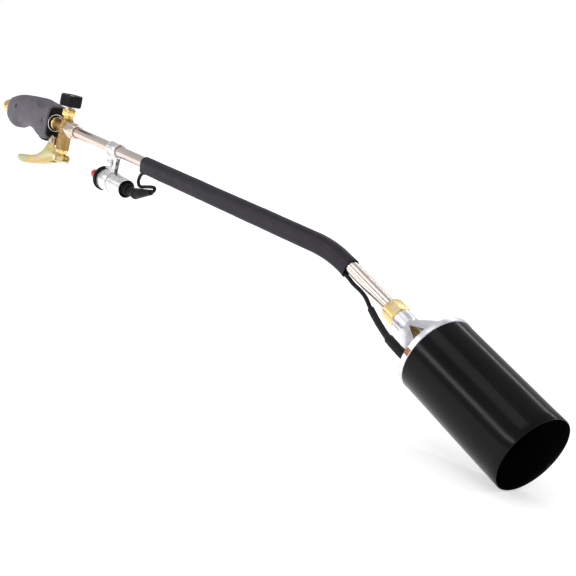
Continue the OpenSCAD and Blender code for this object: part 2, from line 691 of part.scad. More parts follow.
// A prism along x about the clamp's middle, drawn with x downwards from the lance axis.
module strap_prism(width)
    along_x(clamp_x - width / 2, lance_lift) linear_extrude(width) children();
function clamp_bolt_z() = lance_lift - (lance_r + igniter_drop - housing_od / 2) / 2;
module clamp_bolt() color("gainsboro") {
    along_y(clamp_x, -3.2, clamp_bolt_z()) cylinder(r = 2.5, h = 12.4);
    along_y(clamp_x, -6.7, clamp_bolt_z()) hex(8, 3.5 + eps);
}
module clamp_nut() color("gainsboro") difference() {
    along_y(clamp_x, 3.2, clamp_bolt_z()) hex(8, 4);
    along_y(clamp_x, 0, clamp_bolt_z()) cylinder(r = 2.5, h = 12);
}
module igniter_housing() color("gainsboro")
    along_x(bezel_x + bezel_t, igniter_z)
        ring(housing_od / 2, housing_od / 2 - 1, housing_end - bezel_x - bezel_t);
module piezo_body() color([0.08, 0.08, 0.08]) difference() {
    union() {
        along_x(bezel_x, igniter_z) cylinder(r = bezel_r, h = bezel_t);
        along_x(bezel_x - 5, igniter_z) cylinder(r = 7.5, h = 5 + eps);
        along_x(bezel_x + bezel_t - eps, igniter_z)
            cylinder(r = housing_od / 2 - 1.05, h = piezo_end - bezel_x - bezel_t);
        along_x(piezo_end - 2, igniter_z) cylinder(r = 7, h = 14);
        along_x(piezo_end - 2, igniter_z) cylinder(r = 5.2, h = stub_tip_x - piezo_end + 2);
    }
    along_x(bezel_x - 10, igniter_z) cylinder(r = button_r + 0.1, h = button_bore_end - bezel_x + 10);
}
module igniter_button() color("red") {
    along_x(button_out_x + 1, igniter_z) cylinder(r = button_r, h = button_in_x - button_out_x - 1);
    along_x(button_out_x, igniter_z) cylinder(r1 = button_r - 1, r2 = button_r, h = 1 + eps);
}
module button_spring() color("silver") along_x(0, igniter_z)
    coil_spring(3.6, 0.5, button_in_x, button_bore_end, 6);

module terminal_boot() color([0.07, 0.07, 0.07]) difference() {
    boot_axis() {
        sphere(r = 6.4);
        cylinder(r1 = 6, r2 = 3, h = boot_len);
    }
    along_x(stub_tip_x - 20, igniter_z) cylinder(r = 5.2, h = 20);
    boot_axis() cylinder(r = lead_r + 0.05, h = boot_len + 1);
}
module boot_axis() translate([stub_tip_x + 1, 0, igniter_z]) rotate([0, 90 - boot_tilt, 0]) children();

module ignition_lead() color([0.05, 0.05, 0.05])
    sweep_tube(concat(lead_inner_end(), smooth(lead_rear, 2), lead_middle(), route_front(40)), lead_r);
// The lead starts inside the boot and leaves it along its axis.
function lead_inner_end() = [
    for (d = [6, boot_len + 1])
        [stub_tip_x + 1 + d * cos(boot_tilt), 0, igniter_z + d * sin(boot_tilt)]
];

// ---------- burner ----------

module lead_boot_small() color([0.1, 0.1, 0.1]) sweep_tube(
    [for (p = route_front(small_boot_from)) if (p[0] <= past_corner([large_boot_from, 0, 0])[0]) p],
    3, lead_r + 0.1, 10);
module lead_boot_large() color([0.1, 0.1, 0.1]) {
    sweep_tube(route_front(large_boot_from), 4.1, lead_r + 0.1, 11);
    at_electrode(boot_joint - 0.6) ring(4.2, 2.8, ring_back - boot_joint + 0.6);
}
module at_electrode(d) lower() translate([d, electrode_y, electrode_z]) rotate([0, 90, 0]) children();
module electrode_insulator() color("ivory") at_electrode(boot_joint + 2)
    ring(2.75, 1.05, 36);
module electrode_rod() color("silver") {
    at_electrode(boot_joint + 0.2) cylinder(r = 1, h = 46);
    at_electrode(boot_joint + 46) rotate([-60, 0, 0]) cylinder(r = 1, h = 12);
}
module electrode_clip() color([0.5, 0.28, 0.18]) lower() rotate([clip_angle, 0, 0]) {
    translate([ring_back + 0.6, ring_r - 1.2, -2.8]) cube([4.4, 1.1, 5.6]);
    translate([ring_back + 2.8, 0, 0]) rotate([-90, 0, 0]) translate([0, 0, 32]) cylinder(r = 1.2, h = 3);
}

module orifice_nut() color([0.9, 0.75, 0.42]) lower() difference() {
    union() {
        along_x(nut_back + 1.2) hex(nut_af, nut_front - nut_back - 1.2);
        along_x(nut_back) cylinder(r1 = nut_af / 2 - 0.9, r2 = nut_af / 2, h = 1.2 + eps);
        along_x(nut_front - eps) cylinder(r = hub_bore_r, h = hub_front - nut_front);
    }
    along_x(nut_back - 1) cylinder(r = lance_r, h = nut_front - 5 - nut_back + 1);
    along_x(nut_front - 6) cylinder(r = 3, h = 40);
}
module gas_jet() color("goldenrod") lower() difference() {
    union() {
        along_x(nut_front - 2) cylinder(r = 3, h = hub_front - nut_front + 3);
        along_x(hub_front + 0.2) hex(9, 4);
        along_x(hub_front + 4) cylinder(r1 = 4, r2 = 2.6, h = 8);
    }
    along_x(nut_front - 3) cylinder(r = 1.8, h = 20);
    along_x(nut_front) cylinder(r = 0.5, h = 40);
}

// Cast hub, conical legs and ring that hold the bell round the jet.
module bell_carrier() color([0.84, 0.84, 0.86]) lower() difference() {
    union() {
        along_x(nut_front) cylinder(r = hub_r, h = hub_front - nut_front);
        difference() {
            carrier_cone(0);
            carrier_cone(cone_t * 1.5);
            for (k = [0 : leg_count - 1])
                rotate([leg_angle + 360 * (k + 0.5) / leg_count, 0, 0]) leg_window();
        }
        along_x(ring_back) cylinder(r = ring_r, h = bell_start - ring_back);
        along_x(bell_start - eps) cylinder(r = bell_od / 2 - bell_wall - 0.02, h = 9);
    }
    along_x(nut_front - 1) cylinder(r = hub_bore_r, h = 30);
    along_x(ring_back - eps) cylinder(r = ring_bore_r, h = 40);
    translate([boot_joint, electrode_y, electrode_z]) rotate([0, 90, 0]) cylinder(r = 2.8, h = 50);
    translate([boot_joint - 30, electrode_y, electrode_z]) rotate([0, 90, 0])
        cylinder(r = 4.2, h = 30 + ring_back - boot_joint);
    rotate([clip_angle, 0, 0]) translate([ring_back + 0.5, ring_r - 1.3, -3]) cube([4.6, 3, 6]);
    rotate([clip_angle, 0, 0]) translate([ring_back + 2.8, 0, 0]) rotate([-90, 0, 0])
        cylinder(r = 1.2, h = 50);
    rotate([215, 0, 0]) translate([nut_front - 1, hub_bore_r - 1, -0.7]) cube([11, 6, 1.4]);
}
module carrier_cone(shift) along_x(hub_front - 4 + shift)
    cylinder(r1 = hub_r - 1, r2 = ring_r - 0.4, h = ring_back - hub_front + 6);
// Three-cornered window between two legs, narrow at the hub.
module leg_window() rotate([-90, 0, 0]) linear_extrude(60)
    polygon([[hub_front + 4, 0], [ring_back - 0.6, -7.5], [ring_back - 0.6, 7.5]]);

module flame_bell() color([0.04, 0.04, 0.04]) lower()
    along_x(bell_start) ring(bell_od / 2, bell_od / 2 - bell_wall, bell_len);

inlet_fitting();
inlet_tube();
grip_left_half();
grip_right_half();
grip_screws();
front_collar();
mounting_ring();
valve_body();
needle_stem();
stem_packing();
packing_nut();
flow_knob();
knob_screw();
plunger();
plunger_seal();
plunger_spring();
plunger_gland();
plunger_nut();
cross_pin();
pin_clip();
squeeze_lever();
lever_pin();
union_nut();
union_ferrule();
lance_tube();
heat_shrink_sleeve();
clamp_strap();
clamp_bolt();
clamp_nut();
igniter_housing();
piezo_body();
igniter_button();
button_spring();
terminal_boot();
ignition_lead();
lead_boot_small();
lead_boot_large();
electrode_insulator();
electrode_rod();
electrode_clip();
orifice_nut();
gas_jet();
bell_carrier();
flame_bell();
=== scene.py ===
import json
import math

import bpy
from bpy.props import FloatProperty, FloatVectorProperty, PointerProperty
from mathutils import Matrix, Vector


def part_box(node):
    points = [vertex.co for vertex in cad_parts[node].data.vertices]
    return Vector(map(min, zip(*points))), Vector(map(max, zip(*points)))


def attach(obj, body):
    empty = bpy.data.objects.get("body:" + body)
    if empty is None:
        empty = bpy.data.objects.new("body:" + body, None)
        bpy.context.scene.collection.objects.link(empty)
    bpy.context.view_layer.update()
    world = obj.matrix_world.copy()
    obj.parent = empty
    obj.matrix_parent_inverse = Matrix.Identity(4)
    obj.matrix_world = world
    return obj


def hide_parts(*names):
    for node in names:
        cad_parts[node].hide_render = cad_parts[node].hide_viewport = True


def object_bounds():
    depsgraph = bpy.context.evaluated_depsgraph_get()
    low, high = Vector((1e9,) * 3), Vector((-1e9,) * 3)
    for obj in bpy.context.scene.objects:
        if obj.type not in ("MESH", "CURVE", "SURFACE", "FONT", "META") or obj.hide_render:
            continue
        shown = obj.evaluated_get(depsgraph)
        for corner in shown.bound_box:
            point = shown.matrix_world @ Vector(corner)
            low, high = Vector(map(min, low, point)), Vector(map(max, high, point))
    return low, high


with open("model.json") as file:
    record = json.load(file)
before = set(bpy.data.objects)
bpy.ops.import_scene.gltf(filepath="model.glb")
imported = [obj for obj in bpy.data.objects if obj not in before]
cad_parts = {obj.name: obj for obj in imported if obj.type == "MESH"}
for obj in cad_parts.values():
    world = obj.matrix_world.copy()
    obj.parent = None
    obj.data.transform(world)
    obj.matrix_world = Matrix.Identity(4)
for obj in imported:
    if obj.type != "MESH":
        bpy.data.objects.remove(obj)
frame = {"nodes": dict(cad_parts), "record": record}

bl_info = {
    "name": "Propane torch",
    "version": (1, 0, 0),
    "blender": (4, 5, 0),
    "location": "View3D > Sidebar > Torch",
    "description": "Detailed pieces, finishes and a stage for a propane torch",
    "category": "Mesh",
}

MM = 0.001
CAD_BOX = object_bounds()
ALONG_X = Matrix.Rotation(math.pi / 2, 4, "Y")
ALONG_Y = Matrix.Rotation(-math.pi / 2, 4, "X")
SIDEWAYS = Matrix.Rotation(math.pi / 2, 4, "X")


def middle(node):
    """The middle of a node's box, in millimetres."""
    low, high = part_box(node)
    return (low + high) / 2 / MM


def width(node):
    """The width of a node's box across the torch, in millimetres."""
    low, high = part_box(node)
    return (high.y - low.y) / MM


def ends(node, axis=0):
    """Where a node starts and stops along an axis, in millimetres."""
    low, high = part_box(node)
    return low[axis] / MM, high[axis] / MM


LANCE_Z = middle("union_nut").z
VALVE_X = middle("flow_knob").x
CLAMP_X = middle("clamp_strap").x
IGNITER_Z = middle("igniter_housing").z
PIVOT = middle("lever_pin")
PIN = middle("cross_pin")


# ---------- sizes and colours that a user may change ----------


def size(name, description, default, low, high):
    return FloatProperty(
        name=name, description=description, default=default, min=low, max=high, subtype="DISTANCE", unit="LENGTH"
    )


def colour(name, description, default):
    return FloatVectorProperty(
        name=name, description=description, default=default, min=0, max=1, size=3, subtype="COLOR"
    )


class TorchSizes(bpy.types.PropertyGroup):
    """Sizes of the pieces, in metres"""

    lance: size("Lance", "Outside diameter of the lance tube", 0.0127, 0.012, 0.0132)
    corner: size("Corner", "Distance from the inlet to the corner of the bend", 0.676, 0.5, 0.8)
    bend_radius: size("Bend radius", "Centre-line radius of the bend", 0.145, 0.1, 0.2)
    bend: FloatProperty(
        name="Bend",
        description="Angle by which the burner end turns down",
        default=math.radians(17.3),
        min=0.0,
        max=0.6,
        subtype="ANGLE",
        unit="ROTATION",
    )
    bell: size("Bell", "Outside diameter of the bell", width("flame_bell") * MM, 0.06, 0.08)
    bell_wall: size("Bell wall", "Sheet thickness of the bell", 0.001, 0.0006, 0.0015)
    knob: size("Knob", "Diameter of the knob over its lobes", 0.0285, 0.024, 0.03)
    edge: size("Edge", "Rounding of machined edges", 0.0003, 0.0001, 0.0006)


class TorchColours(bpy.types.PropertyGroup):
    """Base colours of the finishes"""

    grip: colour("Grip", "Colour of the moulded grip", (0.112, 0.103, 0.124))
    black: colour("Black plastic", "Colour of the knob, collar and bezel", (0.010, 0.010, 0.011))
    brass: colour("Cast brass", "Colour of the sand-cast valve body", (0.40, 0.25, 0.095))
    bright_brass: colour("Turned brass", "Colour of machined brass", (0.90, 0.66, 0.26))
    nickel: colour("Nickel", "Colour of the plated lance", (0.80, 0.69, 0.62))
    zinc: colour("Yellow zinc", "Colour of the squeeze lever", (0.56, 0.50, 0.20))
    sleeve: colour("Sleeve", "Colour of the heat-shrink sleeve", (0.024, 0.021, 0.027))
    enamel: colour("Enamel", "Colour of the bell", (0.0035, 0.0035, 0.004))
    button: colour("Button", "Colour of the igniter's button", (0.60, 0.02, 0.035))
    aluminium: colour("Aluminium", "Colour of the cast carrier", (0.80, 0.80, 0.84))


# ---------- making pieces ----------


def nothing_selected():
    if bpy.context.mode != "OBJECT":
        bpy.ops.object.mode_set(mode="OBJECT")
    bpy.ops.object.select_all(action="DESELECT")


def only(piece):
    nothing_selected()
    piece.select_set(True)
    bpy.context.view_layer.objects.active = piece


def placed(piece, place):
    """Takes a piece made about the origin to its place, and puts the place into its mesh."""
    only(piece)
    piece.matrix_world = place
    bpy.ops.object.transform_apply(location=True, rotation=True, scale=True)
    return piece


def closed(piece, fill=True):
    """Joins what meets, closes open ends and turns every face outwards."""
    bpy.ops.mesh.select_all(action="SELECT")
    bpy.ops.mesh.remove_doubles(threshold=1e-6)
    if fill:
        bpy.ops.mesh.fill_holes(sides=0)
    bpy.ops.mesh.select_all(action="SELECT")
    bpy.ops.mesh.normals_make_consistent(inside=False)
    bpy.ops.object.mode_set(mode="OBJECT")
    return piece


def first_ring(name, count, radius=1.0, height=0.0, fill="NOTHING"):
    nothing_selected()
    bpy.ops.mesh.primitive_circle_add(
        vertices=count, radius=radius * MM, location=(0, 0, height * MM), fill_type=fill
    )
    bpy.ops.object.transform_apply(location=True, rotation=True, scale=True)
    piece = bpy.context.object
    piece.name = name
    return piece


def drawn_ring(name, outline, fill="NOTHING"):
    """A ring whose points lie on an outline, given as (x, y) in millimetres."""
    piece = first_ring(name, len(outline), fill=fill)
    for vertex, (x, y) in zip(piece.data.vertices, outline):
        vertex.co = (x * MM, y * MM, 0)
    return piece


def carry_ring(step, scale=(1, 1), centre=(0, 0, 0), turn=0.0):
    """Extrudes the selected ring by a step, then sizes and turns it about its new centre."""
    about = tuple(v * MM for v in centre)
    bpy.ops.mesh.extrude_region_move(TRANSFORM_OT_translate={"value": tuple(v * MM for v in step)})
    if scale != (1, 1):
        bpy.ops.transform.resize(value=(scale[0], scale[1], 1), center_override=about)
    if turn:
        bpy.ops.transform.rotate(value=-turn, orient_axis="Y", center_override=about)


def turned(name, stations, place, segments=64, bored=False):
    """A turned piece: a ring carried through (distance, radius) stations along its axis."""
    piece = first_ring(name, segments, stations[0][1], stations[0][0])
    bpy.ops.object.mode_set(mode="EDIT")
    bpy.ops.mesh.select_all(action="SELECT")
    laps = stations + stations[:1] if bored else stations
    for (z0, r0), (z1, r1) in zip(laps, laps[1:]):
        carry_ring((0, 0, z1 - z0), (r1 / r0, r1 / r0), (0, 0, z1))
    return placed(closed(piece, not bored), place)


def prism(name, outline, depth, place):
    """A flat outline made thick along its own z."""
    piece = drawn_ring(name, outline, "NGON")
    bpy.ops.object.mode_set(mode="EDIT")
    bpy.ops.mesh.select_all(action="SELECT")
    bpy.ops.mesh.extrude_region_move(TRANSFORM_OT_translate={"value": (0, 0, depth * MM)})
    return placed(closed(piece), place)


def side_plate(name, outline, y_low, y_high):
    """An outline in the torch's own x and z, made thick across it."""
    return prism(name, outline, y_high - y_low, moved(0, y_high, 0) @ SIDEWAYS)


def lofted(name, outline, stations, place, fill=True):
    """An outline carried through (along, aside, scale, scale across, turn) stations."""
    piece = drawn_ring(name, outline)
    bpy.ops.object.mode_set(mode="EDIT")
    bpy.ops.mesh.select_all(action="SELECT")
    along, aside, wide, deep, turn = stations[0]
    bpy.ops.transform.resize(value=(wide, deep, 1), center_override=(0, 0, 0))
    bpy.ops.transform.translate(value=(aside * MM, 0, along * MM))
    for now in stations[1:]:
        step = (now[1] - aside, 0, now[0] - along)
        if turn:
            bpy.ops.transform.rotate(value=turn, orient_axis="Y", center_override=(aside * MM, 0, along * MM))
        carry_ring(step, (now[2] / wide, now[3] / deep), (now[1], 0, now[0]), now[4])
        along, aside, wide, deep, turn = now
    return placed(closed(piece, fill), place)


def ring_wall(name, outer, inner, length, place, edge=0.3, segments=64):
    """A short tube with softened edges."""
    e = edge
    stations = [(0, outer - e), (e, outer), (length - e, outer), (length, outer - e), (length, inner + e)]
    stations += [(length - e, inner), (e, inner), (0, inner + e)]
    return turned(name, stations, place, segments, bored=True)


def hexagon(name, flats, length, place, bore=0.0):
    """A hexagon nut whose corners are turned off at both ends."""
    corner = flats / 2 / math.cos(math.pi / 6)
    nothing_selected()
    bpy.ops.mesh.primitive_cylinder_add(
        vertices=6, radius=corner * MM, depth=(length + 2) * MM, location=(0, 0, length / 2 * MM)
    )
    bpy.ops.object.transform_apply(location=True, rotation=True, scale=True)
    nut = bpy.context.object
    nut.name = name
    inner = flats / 2 * 0.955
    slope = (corner - inner) * 0.62
    stations = [(0, inner), (slope, corner + 0.1), (length - slope, corner + 0.1), (length, inner)]
    if bore:
        stations += [(length, bore), (0, bore)]
    combine(nut, "INTERSECT", turned("nut_turning", stations, Matrix.Identity(4), 96, bored=bool(bore)))
    return placed(nut, place)


def corded(name, points, radius, resolution=5):
    """A round cord along a smooth route, in millimetres."""
    curve = bpy.data.curves.new(name, "CURVE")
    curve.dimensions = "3D"
    curve.bevel_depth = radius * MM
    curve.bevel_resolution = resolution
    curve.use_fill_caps = True
    spline = curve.splines.new("POLY")
    spline.points.add(len(points) - 1)
    for place, point in zip(spline.points, points):
        place.co = (*[v * MM for v in point], 1)
    piece = bpy.data.objects.new(name, curve)
    bpy.context.scene.collection.objects.link(piece)
    only(piece)
    bpy.ops.object.convert(target="MESH")
    piece = bpy.context.object
    bpy.ops.object.mode_set(mode="EDIT")
    return closed(piece)


def modified(piece, kind, **values):
    """Adds a modifier with these values and applies it."""
    only(piece)
    modifier = piece.modifiers.new(kind.title(), kind)
    for key, value in values.items():
        setattr(modifier, key, value)
    bpy.ops.object.modifier_apply(modifier=modifier.name)
    return piece


def combine(piece, operation, *tools):
    """Adds, cuts away or keeps what it shares with other solids, which are used up."""
    for tool in tools:
        modified(piece, "BOOLEAN", operation=operation, object=tool, solver="EXACT")
        bpy.data.objects.remove(tool)
    return piece


def softened(piece, edge, segments=2, angle=0.6):
    return modified(
        piece, "BEVEL", width=edge, segments=segments, limit_method="ANGLE", angle_limit=angle, use_clamp_overlap=True
    )


def joined(piece, *others):
    only(piece)
    for other in others:
        other.select_set(True)
    bpy.ops.object.join()
    return piece


def cast(piece, voxel, passes):
    """Melts overlapping solids into one casting with filleted corners."""
    modified(piece, "REMESH", mode="VOXEL", voxel_size=voxel * MM)
    return modified(piece, "SMOOTH", factor=0.5, iterations=passes)


def fitted(piece, body, slot, *nodes, angle=0.7):
    """Shades a piece, gives it its finish, ties it to its body and hides the nodes it stands for."""
    only(piece)
    bpy.ops.object.shade_smooth_by_angle(angle=angle)
    piece.data.materials.clear()
    piece.data.materials.append(bpy.data.materials[f"{slot} finish"])
    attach(piece, body)
    if nodes:
        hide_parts(*nodes)
    return piece


def smooth_route(points, steps):
    """A smooth curve through points (Catmull-Rom)."""
    route = []
    for i in range(len(points) - 1):
        a, b, c, d = (Vector(points[min(max(j, 0), len(points) - 1)]) for j in (i - 1, i, i + 1, i + 2))
        for k in range(steps):
            t = k / steps
            route.append(0.5 * (2 * b + (c - a) * t + (2 * a - 5 * b + 4 * c - d) * t**2 + (3 * b - a - 3 * c + d) * t**3))
    return route + [Vector(points[-1])]


# ---------- places ----------


def moved(x, y, z):
    return Matrix.Translation(Vector((x, y, z)) * MM)


def on_lance(x, y=0, z=0):
    """At a distance along the lance, pointing along it."""
    return moved(x, y, LANCE_Z + z) @ ALONG_X


def on_igniter(x):
    return moved(x, 0, IGNITER_Z) @ ALONG_X


def on_valve(z):
    """At a height on the valve's upright axis, from the lance's axis."""
    return moved(VALVE_X, 0, LANCE_Z + z)


def across(x, y, z):
    """At a point, pointing to the left of the torch."""
    return moved(x, y, z) @ ALONG_Y


def burner_frame(sizes):
    return moved(sizes.corner / MM, 0, LANCE_Z) @ Matrix.Rotation(sizes.bend, 4, "Y")


def on_burner(sizes, d, y=0, z=0):
    """At a distance past the bend's corner, pointing along the burner."""
    return burner_frame(sizes) @ moved(d, y, z) @ ALONG_X


def burner_point(sizes, d, y, z):
    return (burner_frame(sizes) @ Vector((d * MM, y * MM, z * MM))) / MM


def bend_reach(sizes):
    """Distance from the bend's corner to either end of its arc."""
    return sizes.bend_radius / MM * math.tan(sizes.bend / 2)


def lance_stations(sizes, start, stop, pitch=8.0, bends=18):
    """Stations along the lance from x = start to a distance past the corner."""
    corner, radius, reach = sizes.corner / MM, sizes.bend_radius / MM, bend_reach(sizes)
    straight = corner - reach - start
    count = max(int(straight / pitch), 1)
    stations = [(start + straight * k / count, 0, 0) for k in range(count)]
    for k in range(bends + 1):
        a = sizes.bend * k / bends
        stations.append((corner - reach + radius * math.sin(a), radius * (1 - math.cos(a)), a))
    length = stop - reach
    count = max(int(length / pitch), 1)
    for k in range(1, count + 1):
        d = reach + length * k / count
        stations.append((corner + d * math.cos(sizes.bend), d * math.sin(sizes.bend), sizes.bend))
    return stations


# ---------- finishes ----------


def shade(base, factor):
    return tuple(min(c * factor, 1) for c in base)


def finish(slot, tones, metal, rough, mottle, grain, stretch=(1, 1, 1), coat=0.0, specular=0.5, worn=None, bands=None):
    """A finish with mottled colour, uneven gloss and a fine relief, all read in the object's own place.

    tones run from the darkest to the lightest patch, mottle is the patches' scale, rough the range of
    roughness, grain (scale, depth in metres) the relief, worn (colour, share) the rubbed edges and
    bands (scale, depth in metres) a row of soft creases along x.
    """
    material = bpy.data.materials.new(f"{slot} finish")
    material.use_nodes = True
    nodes, link = material.node_tree.nodes, material.node_tree.links.new
    shader = nodes["Principled BSDF"]
    shader.inputs["Metallic"].default_value = metal
    shader.inputs["Specular IOR Level"].default_value = specular
    shader.inputs["Coat Weight"].default_value = coat
    shader.inputs["Coat Roughness"].default_value = 0.08
    place = nodes.new("ShaderNodeTexCoord")
    mapping = nodes.new("ShaderNodeMapping")
    mapping.inputs["Scale"].default_value = stretch
    link(place.outputs["Object"], mapping.inputs["Vector"])

    def noise(scale, detail):
        node = nodes.new("ShaderNodeTexNoise")
        node.inputs["Scale"].default_value = scale
        node.inputs["Detail"].default_value = detail
        link(mapping.outputs["Vector"], node.inputs["Vector"])
        return node

    patches = noise(mottle, 5)
    ramp = nodes.new("ShaderNodeValToRGB")
    ramp.color_ramp.elements[0].position = 0.32
    ramp.color_ramp.elements[1].position = 0.68
    ramp.color_ramp.elements[0].color = (*tones[0], 1)
    ramp.color_ramp.elements[1].color = (*tones[-1], 1)
    for k, tone in enumerate(tones[1:-1], 1):
        ramp.color_ramp.elements.new(0.32 + 0.36 * k / (len(tones) - 1)).color = (*tone, 1)
    link(patches.outputs["Fac"], ramp.inputs["Fac"])
    top = ramp.outputs["Color"]
    gloss = nodes.new("ShaderNodeMapRange")
    gloss.inputs["From Min"].default_value = 0.3
    gloss.inputs["From Max"].default_value = 0.7
    gloss.inputs["To Min"].default_value = rough[0]
    gloss.inputs["To Max"].default_value = rough[1]
    link(noise(mottle * 2.3, 6).outputs["Fac"], gloss.inputs["Value"])
    link(gloss.outputs["Result"], shader.inputs["Roughness"])
    if worn:
        edge = nodes.new("ShaderNodeMapRange")
        edge.inputs["From Min"].default_value = 0.53
        edge.inputs["From Max"].default_value = 0.60
        edge.inputs["To Max"].default_value = worn[1]
        link(nodes.new("ShaderNodeNewGeometry").outputs["Pointiness"], edge.inputs["Value"])
        mix = nodes.new("ShaderNodeMix")
        mix.data_type = "RGBA"
        link(edge.outputs["Result"], mix.inputs["Factor"])
        link(top, mix.inputs[6])
        mix.inputs[7].default_value = (*worn[0], 1)
        top = mix.outputs[2]
    link(top, shader.inputs["Base Color"])
    relief = nodes.new("ShaderNodeBump")
    relief.inputs["Distance"].default_value = grain[1]
    relief.inputs["Strength"].default_value = 1.0
    link(noise(grain[0], 4).outputs["Fac"], relief.inputs["Height"])
    if bands:
        wave = nodes.new("ShaderNodeTexWave")
        wave.inputs["Scale"].default_value = bands[0]
        wave.inputs["Distortion"].default_value = 6
        wave.inputs["Detail"].default_value = 3
        link(place.outputs["Object"], wave.inputs["Vector"])
        creases = nodes.new("ShaderNodeBump")
        creases.inputs["Distance"].default_value = bands[1]
        link(wave.outputs["Fac"], creases.inputs["Height"])
        link(creases.outputs["Normal"], relief.inputs["Normal"])
    link(relief.outputs["Normal"], shader.inputs["Normal"])
    return material


class TORCH_OT_finishes(bpy.types.Operator):
    """Makes every finish of the torch"""

    bl_idname = "torch.finishes"
    bl_label = "Finishes"

    def execute(self, context):
        c = context.scene.torch_colours
        grip, black, brass, bright = (tuple(v) for v in (c.grip, c.black, c.brass, c.bright_brass))
        nickel, zinc, enamel = (tuple(v) for v in (c.nickel, c.zinc, c.enamel))
        aluminium, sleeve, button = (tuple(v) for v in (c.aluminium, c.sleeve, c.button))
        finish("grip_plastic", [shade(grip, 0.88), grip, shade(grip, 1.12)], 0, (0.42, 0.56), 60, (2600, 0.00003),
               specular=0.2, worn=(shade(grip, 1.7), 0.5))
        finish("black_plastic", [shade(black, 0.8), shade(black, 1.3)], 0, (0.45, 0.62), 90, (2200, 0.000025),
               specular=0.1, worn=(shade(black, 5), 0.4))
        finish("knob_plastic", [shade(black, 0.8), shade(black, 1.4)], 0, (0.32, 0.5), 110, (1800, 0.00002),
               specular=0.1, worn=(shade(black, 8), 0.6))
        finish("cast_brass", [shade(brass, 0.72), brass, shade(brass, 1.22)], 1, (0.34, 0.52), 170, (1100, 0.00009),
               worn=(shade(brass, 1.6), 0.7))
        finish("turned_brass", [shade(bright, 0.85), bright, shade(bright, 1.08)], 1, (0.12, 0.24), 240, (3000, 0.00003))
        finish("satin_brass", [(0.72, 0.50, 0.20), (0.82, 0.61, 0.27), (0.78, 0.56, 0.24)], 1, (0.24, 0.36), 160,
               (1600, 0.00002), worn=((0.95, 0.80, 0.50), 0.7))
        finish("copper_tube", [(0.50, 0.24, 0.14), (0.72, 0.38, 0.24)], 1, (0.2, 0.36), 120, (900, 0.00005))
        finish("zinc_yellow", [(0.44, 0.52, 0.36), zinc, (0.66, 0.48, 0.16), (0.58, 0.42, 0.34)], 0.9, (0.24, 0.40),
               34, (1500, 0.00002), worn=((0.72, 0.70, 0.52), 0.4))
        finish("nickel", [shade(nickel, 0.94), nickel, shade(nickel, 1.05)], 1, (0.16, 0.26), 420, (2600, 0.00002),
               stretch=(0.03, 1, 1))
        finish("galvanised", [(0.72, 0.73, 0.75), (0.84, 0.84, 0.85), (0.90, 0.90, 0.88)], 1, (0.24, 0.42), 130,
               (900, 0.00003), worn=((0.95, 0.95, 0.95), 0.6))
        finish("steel", [(0.46, 0.46, 0.48), (0.62, 0.62, 0.63)], 1, (0.22, 0.36), 300, (2400, 0.00003))
        finish("spring_steel", [(0.34, 0.34, 0.36), (0.52, 0.52, 0.54)], 1, (0.22, 0.36), 300, (2400, 0.00003))
        finish("sleeve_rubber", [shade(sleeve, 0.82), sleeve, shade(sleeve, 1.16)], 0, (0.36, 0.52), 70,
               (1500, 0.00002), specular=0.16, bands=(14, 0.0001))
        finish("lead_rubber", [(0.004, 0.004, 0.005), (0.010, 0.010, 0.012)], 0, (0.26, 0.4), 140, (1800, 0.000015),
               specular=0.1)
        finish("lead_braid", [(0.004, 0.004, 0.005), (0.022, 0.022, 0.025)], 0, (0.4, 0.7), 900, (1500, 0.00015),
               specular=0.12)
        finish("seal_rubber", [(0.010, 0.010, 0.010), (0.020, 0.020, 0.020)], 0, (0.5, 0.7), 120, (1500, 0.0001))
        finish("packing_white", [(0.78, 0.78, 0.75), (0.90, 0.90, 0.88)], 0, (0.4, 0.6), 150, (1500, 0.00008))
        finish("red_plastic", [shade(button, 0.85), button, shade(button, 1.1)], 0, (0.16, 0.28), 150, (1200, 0.00004),
               coat=0.15)
        finish("piezo_black", [(0.005, 0.005, 0.006), (0.012, 0.012, 0.014)], 0, (0.38, 0.55), 120, (1800, 0.000025),
               specular=0.1, worn=((0.06, 0.06, 0.065), 0.4))
        finish("ceramic", [(0.80, 0.76, 0.66), (0.90, 0.88, 0.82)], 0, (0.1, 0.2), 140, (500, 0.00004), coat=0.6)
        finish("copper_clip", [(0.20, 0.075, 0.035), (0.42, 0.18, 0.09), (0.30, 0.12, 0.06)], 1, (0.28, 0.45), 420,
               (1200, 0.0001))
        finish("cast_aluminium", [shade(aluminium, 0.84), aluminium, shade(aluminium, 1.1)], 1, (0.30, 0.46), 120,
               (1000, 0.00006), worn=((0.95, 0.95, 0.97), 0.6))
        finish("black_enamel", [shade(enamel, 0.8), shade(enamel, 1.3)], 0, (0.15, 0.21), 22, (240, 0.00002),
               specular=0.14)
        return {"FINISHED"}


# ---------- gas inlet and grip ----------


class TORCH_OT_inlet(bpy.types.Operator):
    """Threaded gas inlet with its hexagon"""

    bl_idname = "torch.inlet"
    bl_label = "Gas inlet"

    def execute(self, context):
        start, _ = ends("inlet_fitting")
        pitch, crest, root = 1.41, 7.14, 6.35
        stations = [(0, root - 0.6), (0.6, root)]
        for k in range(7):
            low = 0.8 + k * pitch
            stations += [(low, root), (low + 0.45, crest), (low + 0.75, crest), (low + 1.2, root)]
        stations += [(11, root), (11, 8.8), (19, 8.8), (19, 6.5), (29, 6.5), (29, 4), (26.5, 4), (26.5, 3)]
        stations += [(2.4, 3), (0, 4.6)]
        thread = turned("inlet_thread", stations, on_lance(start, 0, -LANCE_Z), bored=True)
        fitted(thread, "torch", "turned_brass", "inlet_fitting", angle=0.5)
        nut = hexagon("inlet_hexagon", 19, 8, on_lance(start + 11, 0, -LANCE_Z), bore=8.7)
        fitted(softened(nut, context.scene.torch_sizes.edge), "torch", "turned_brass", "inlet_fitting")
        return {"FINISHED"}


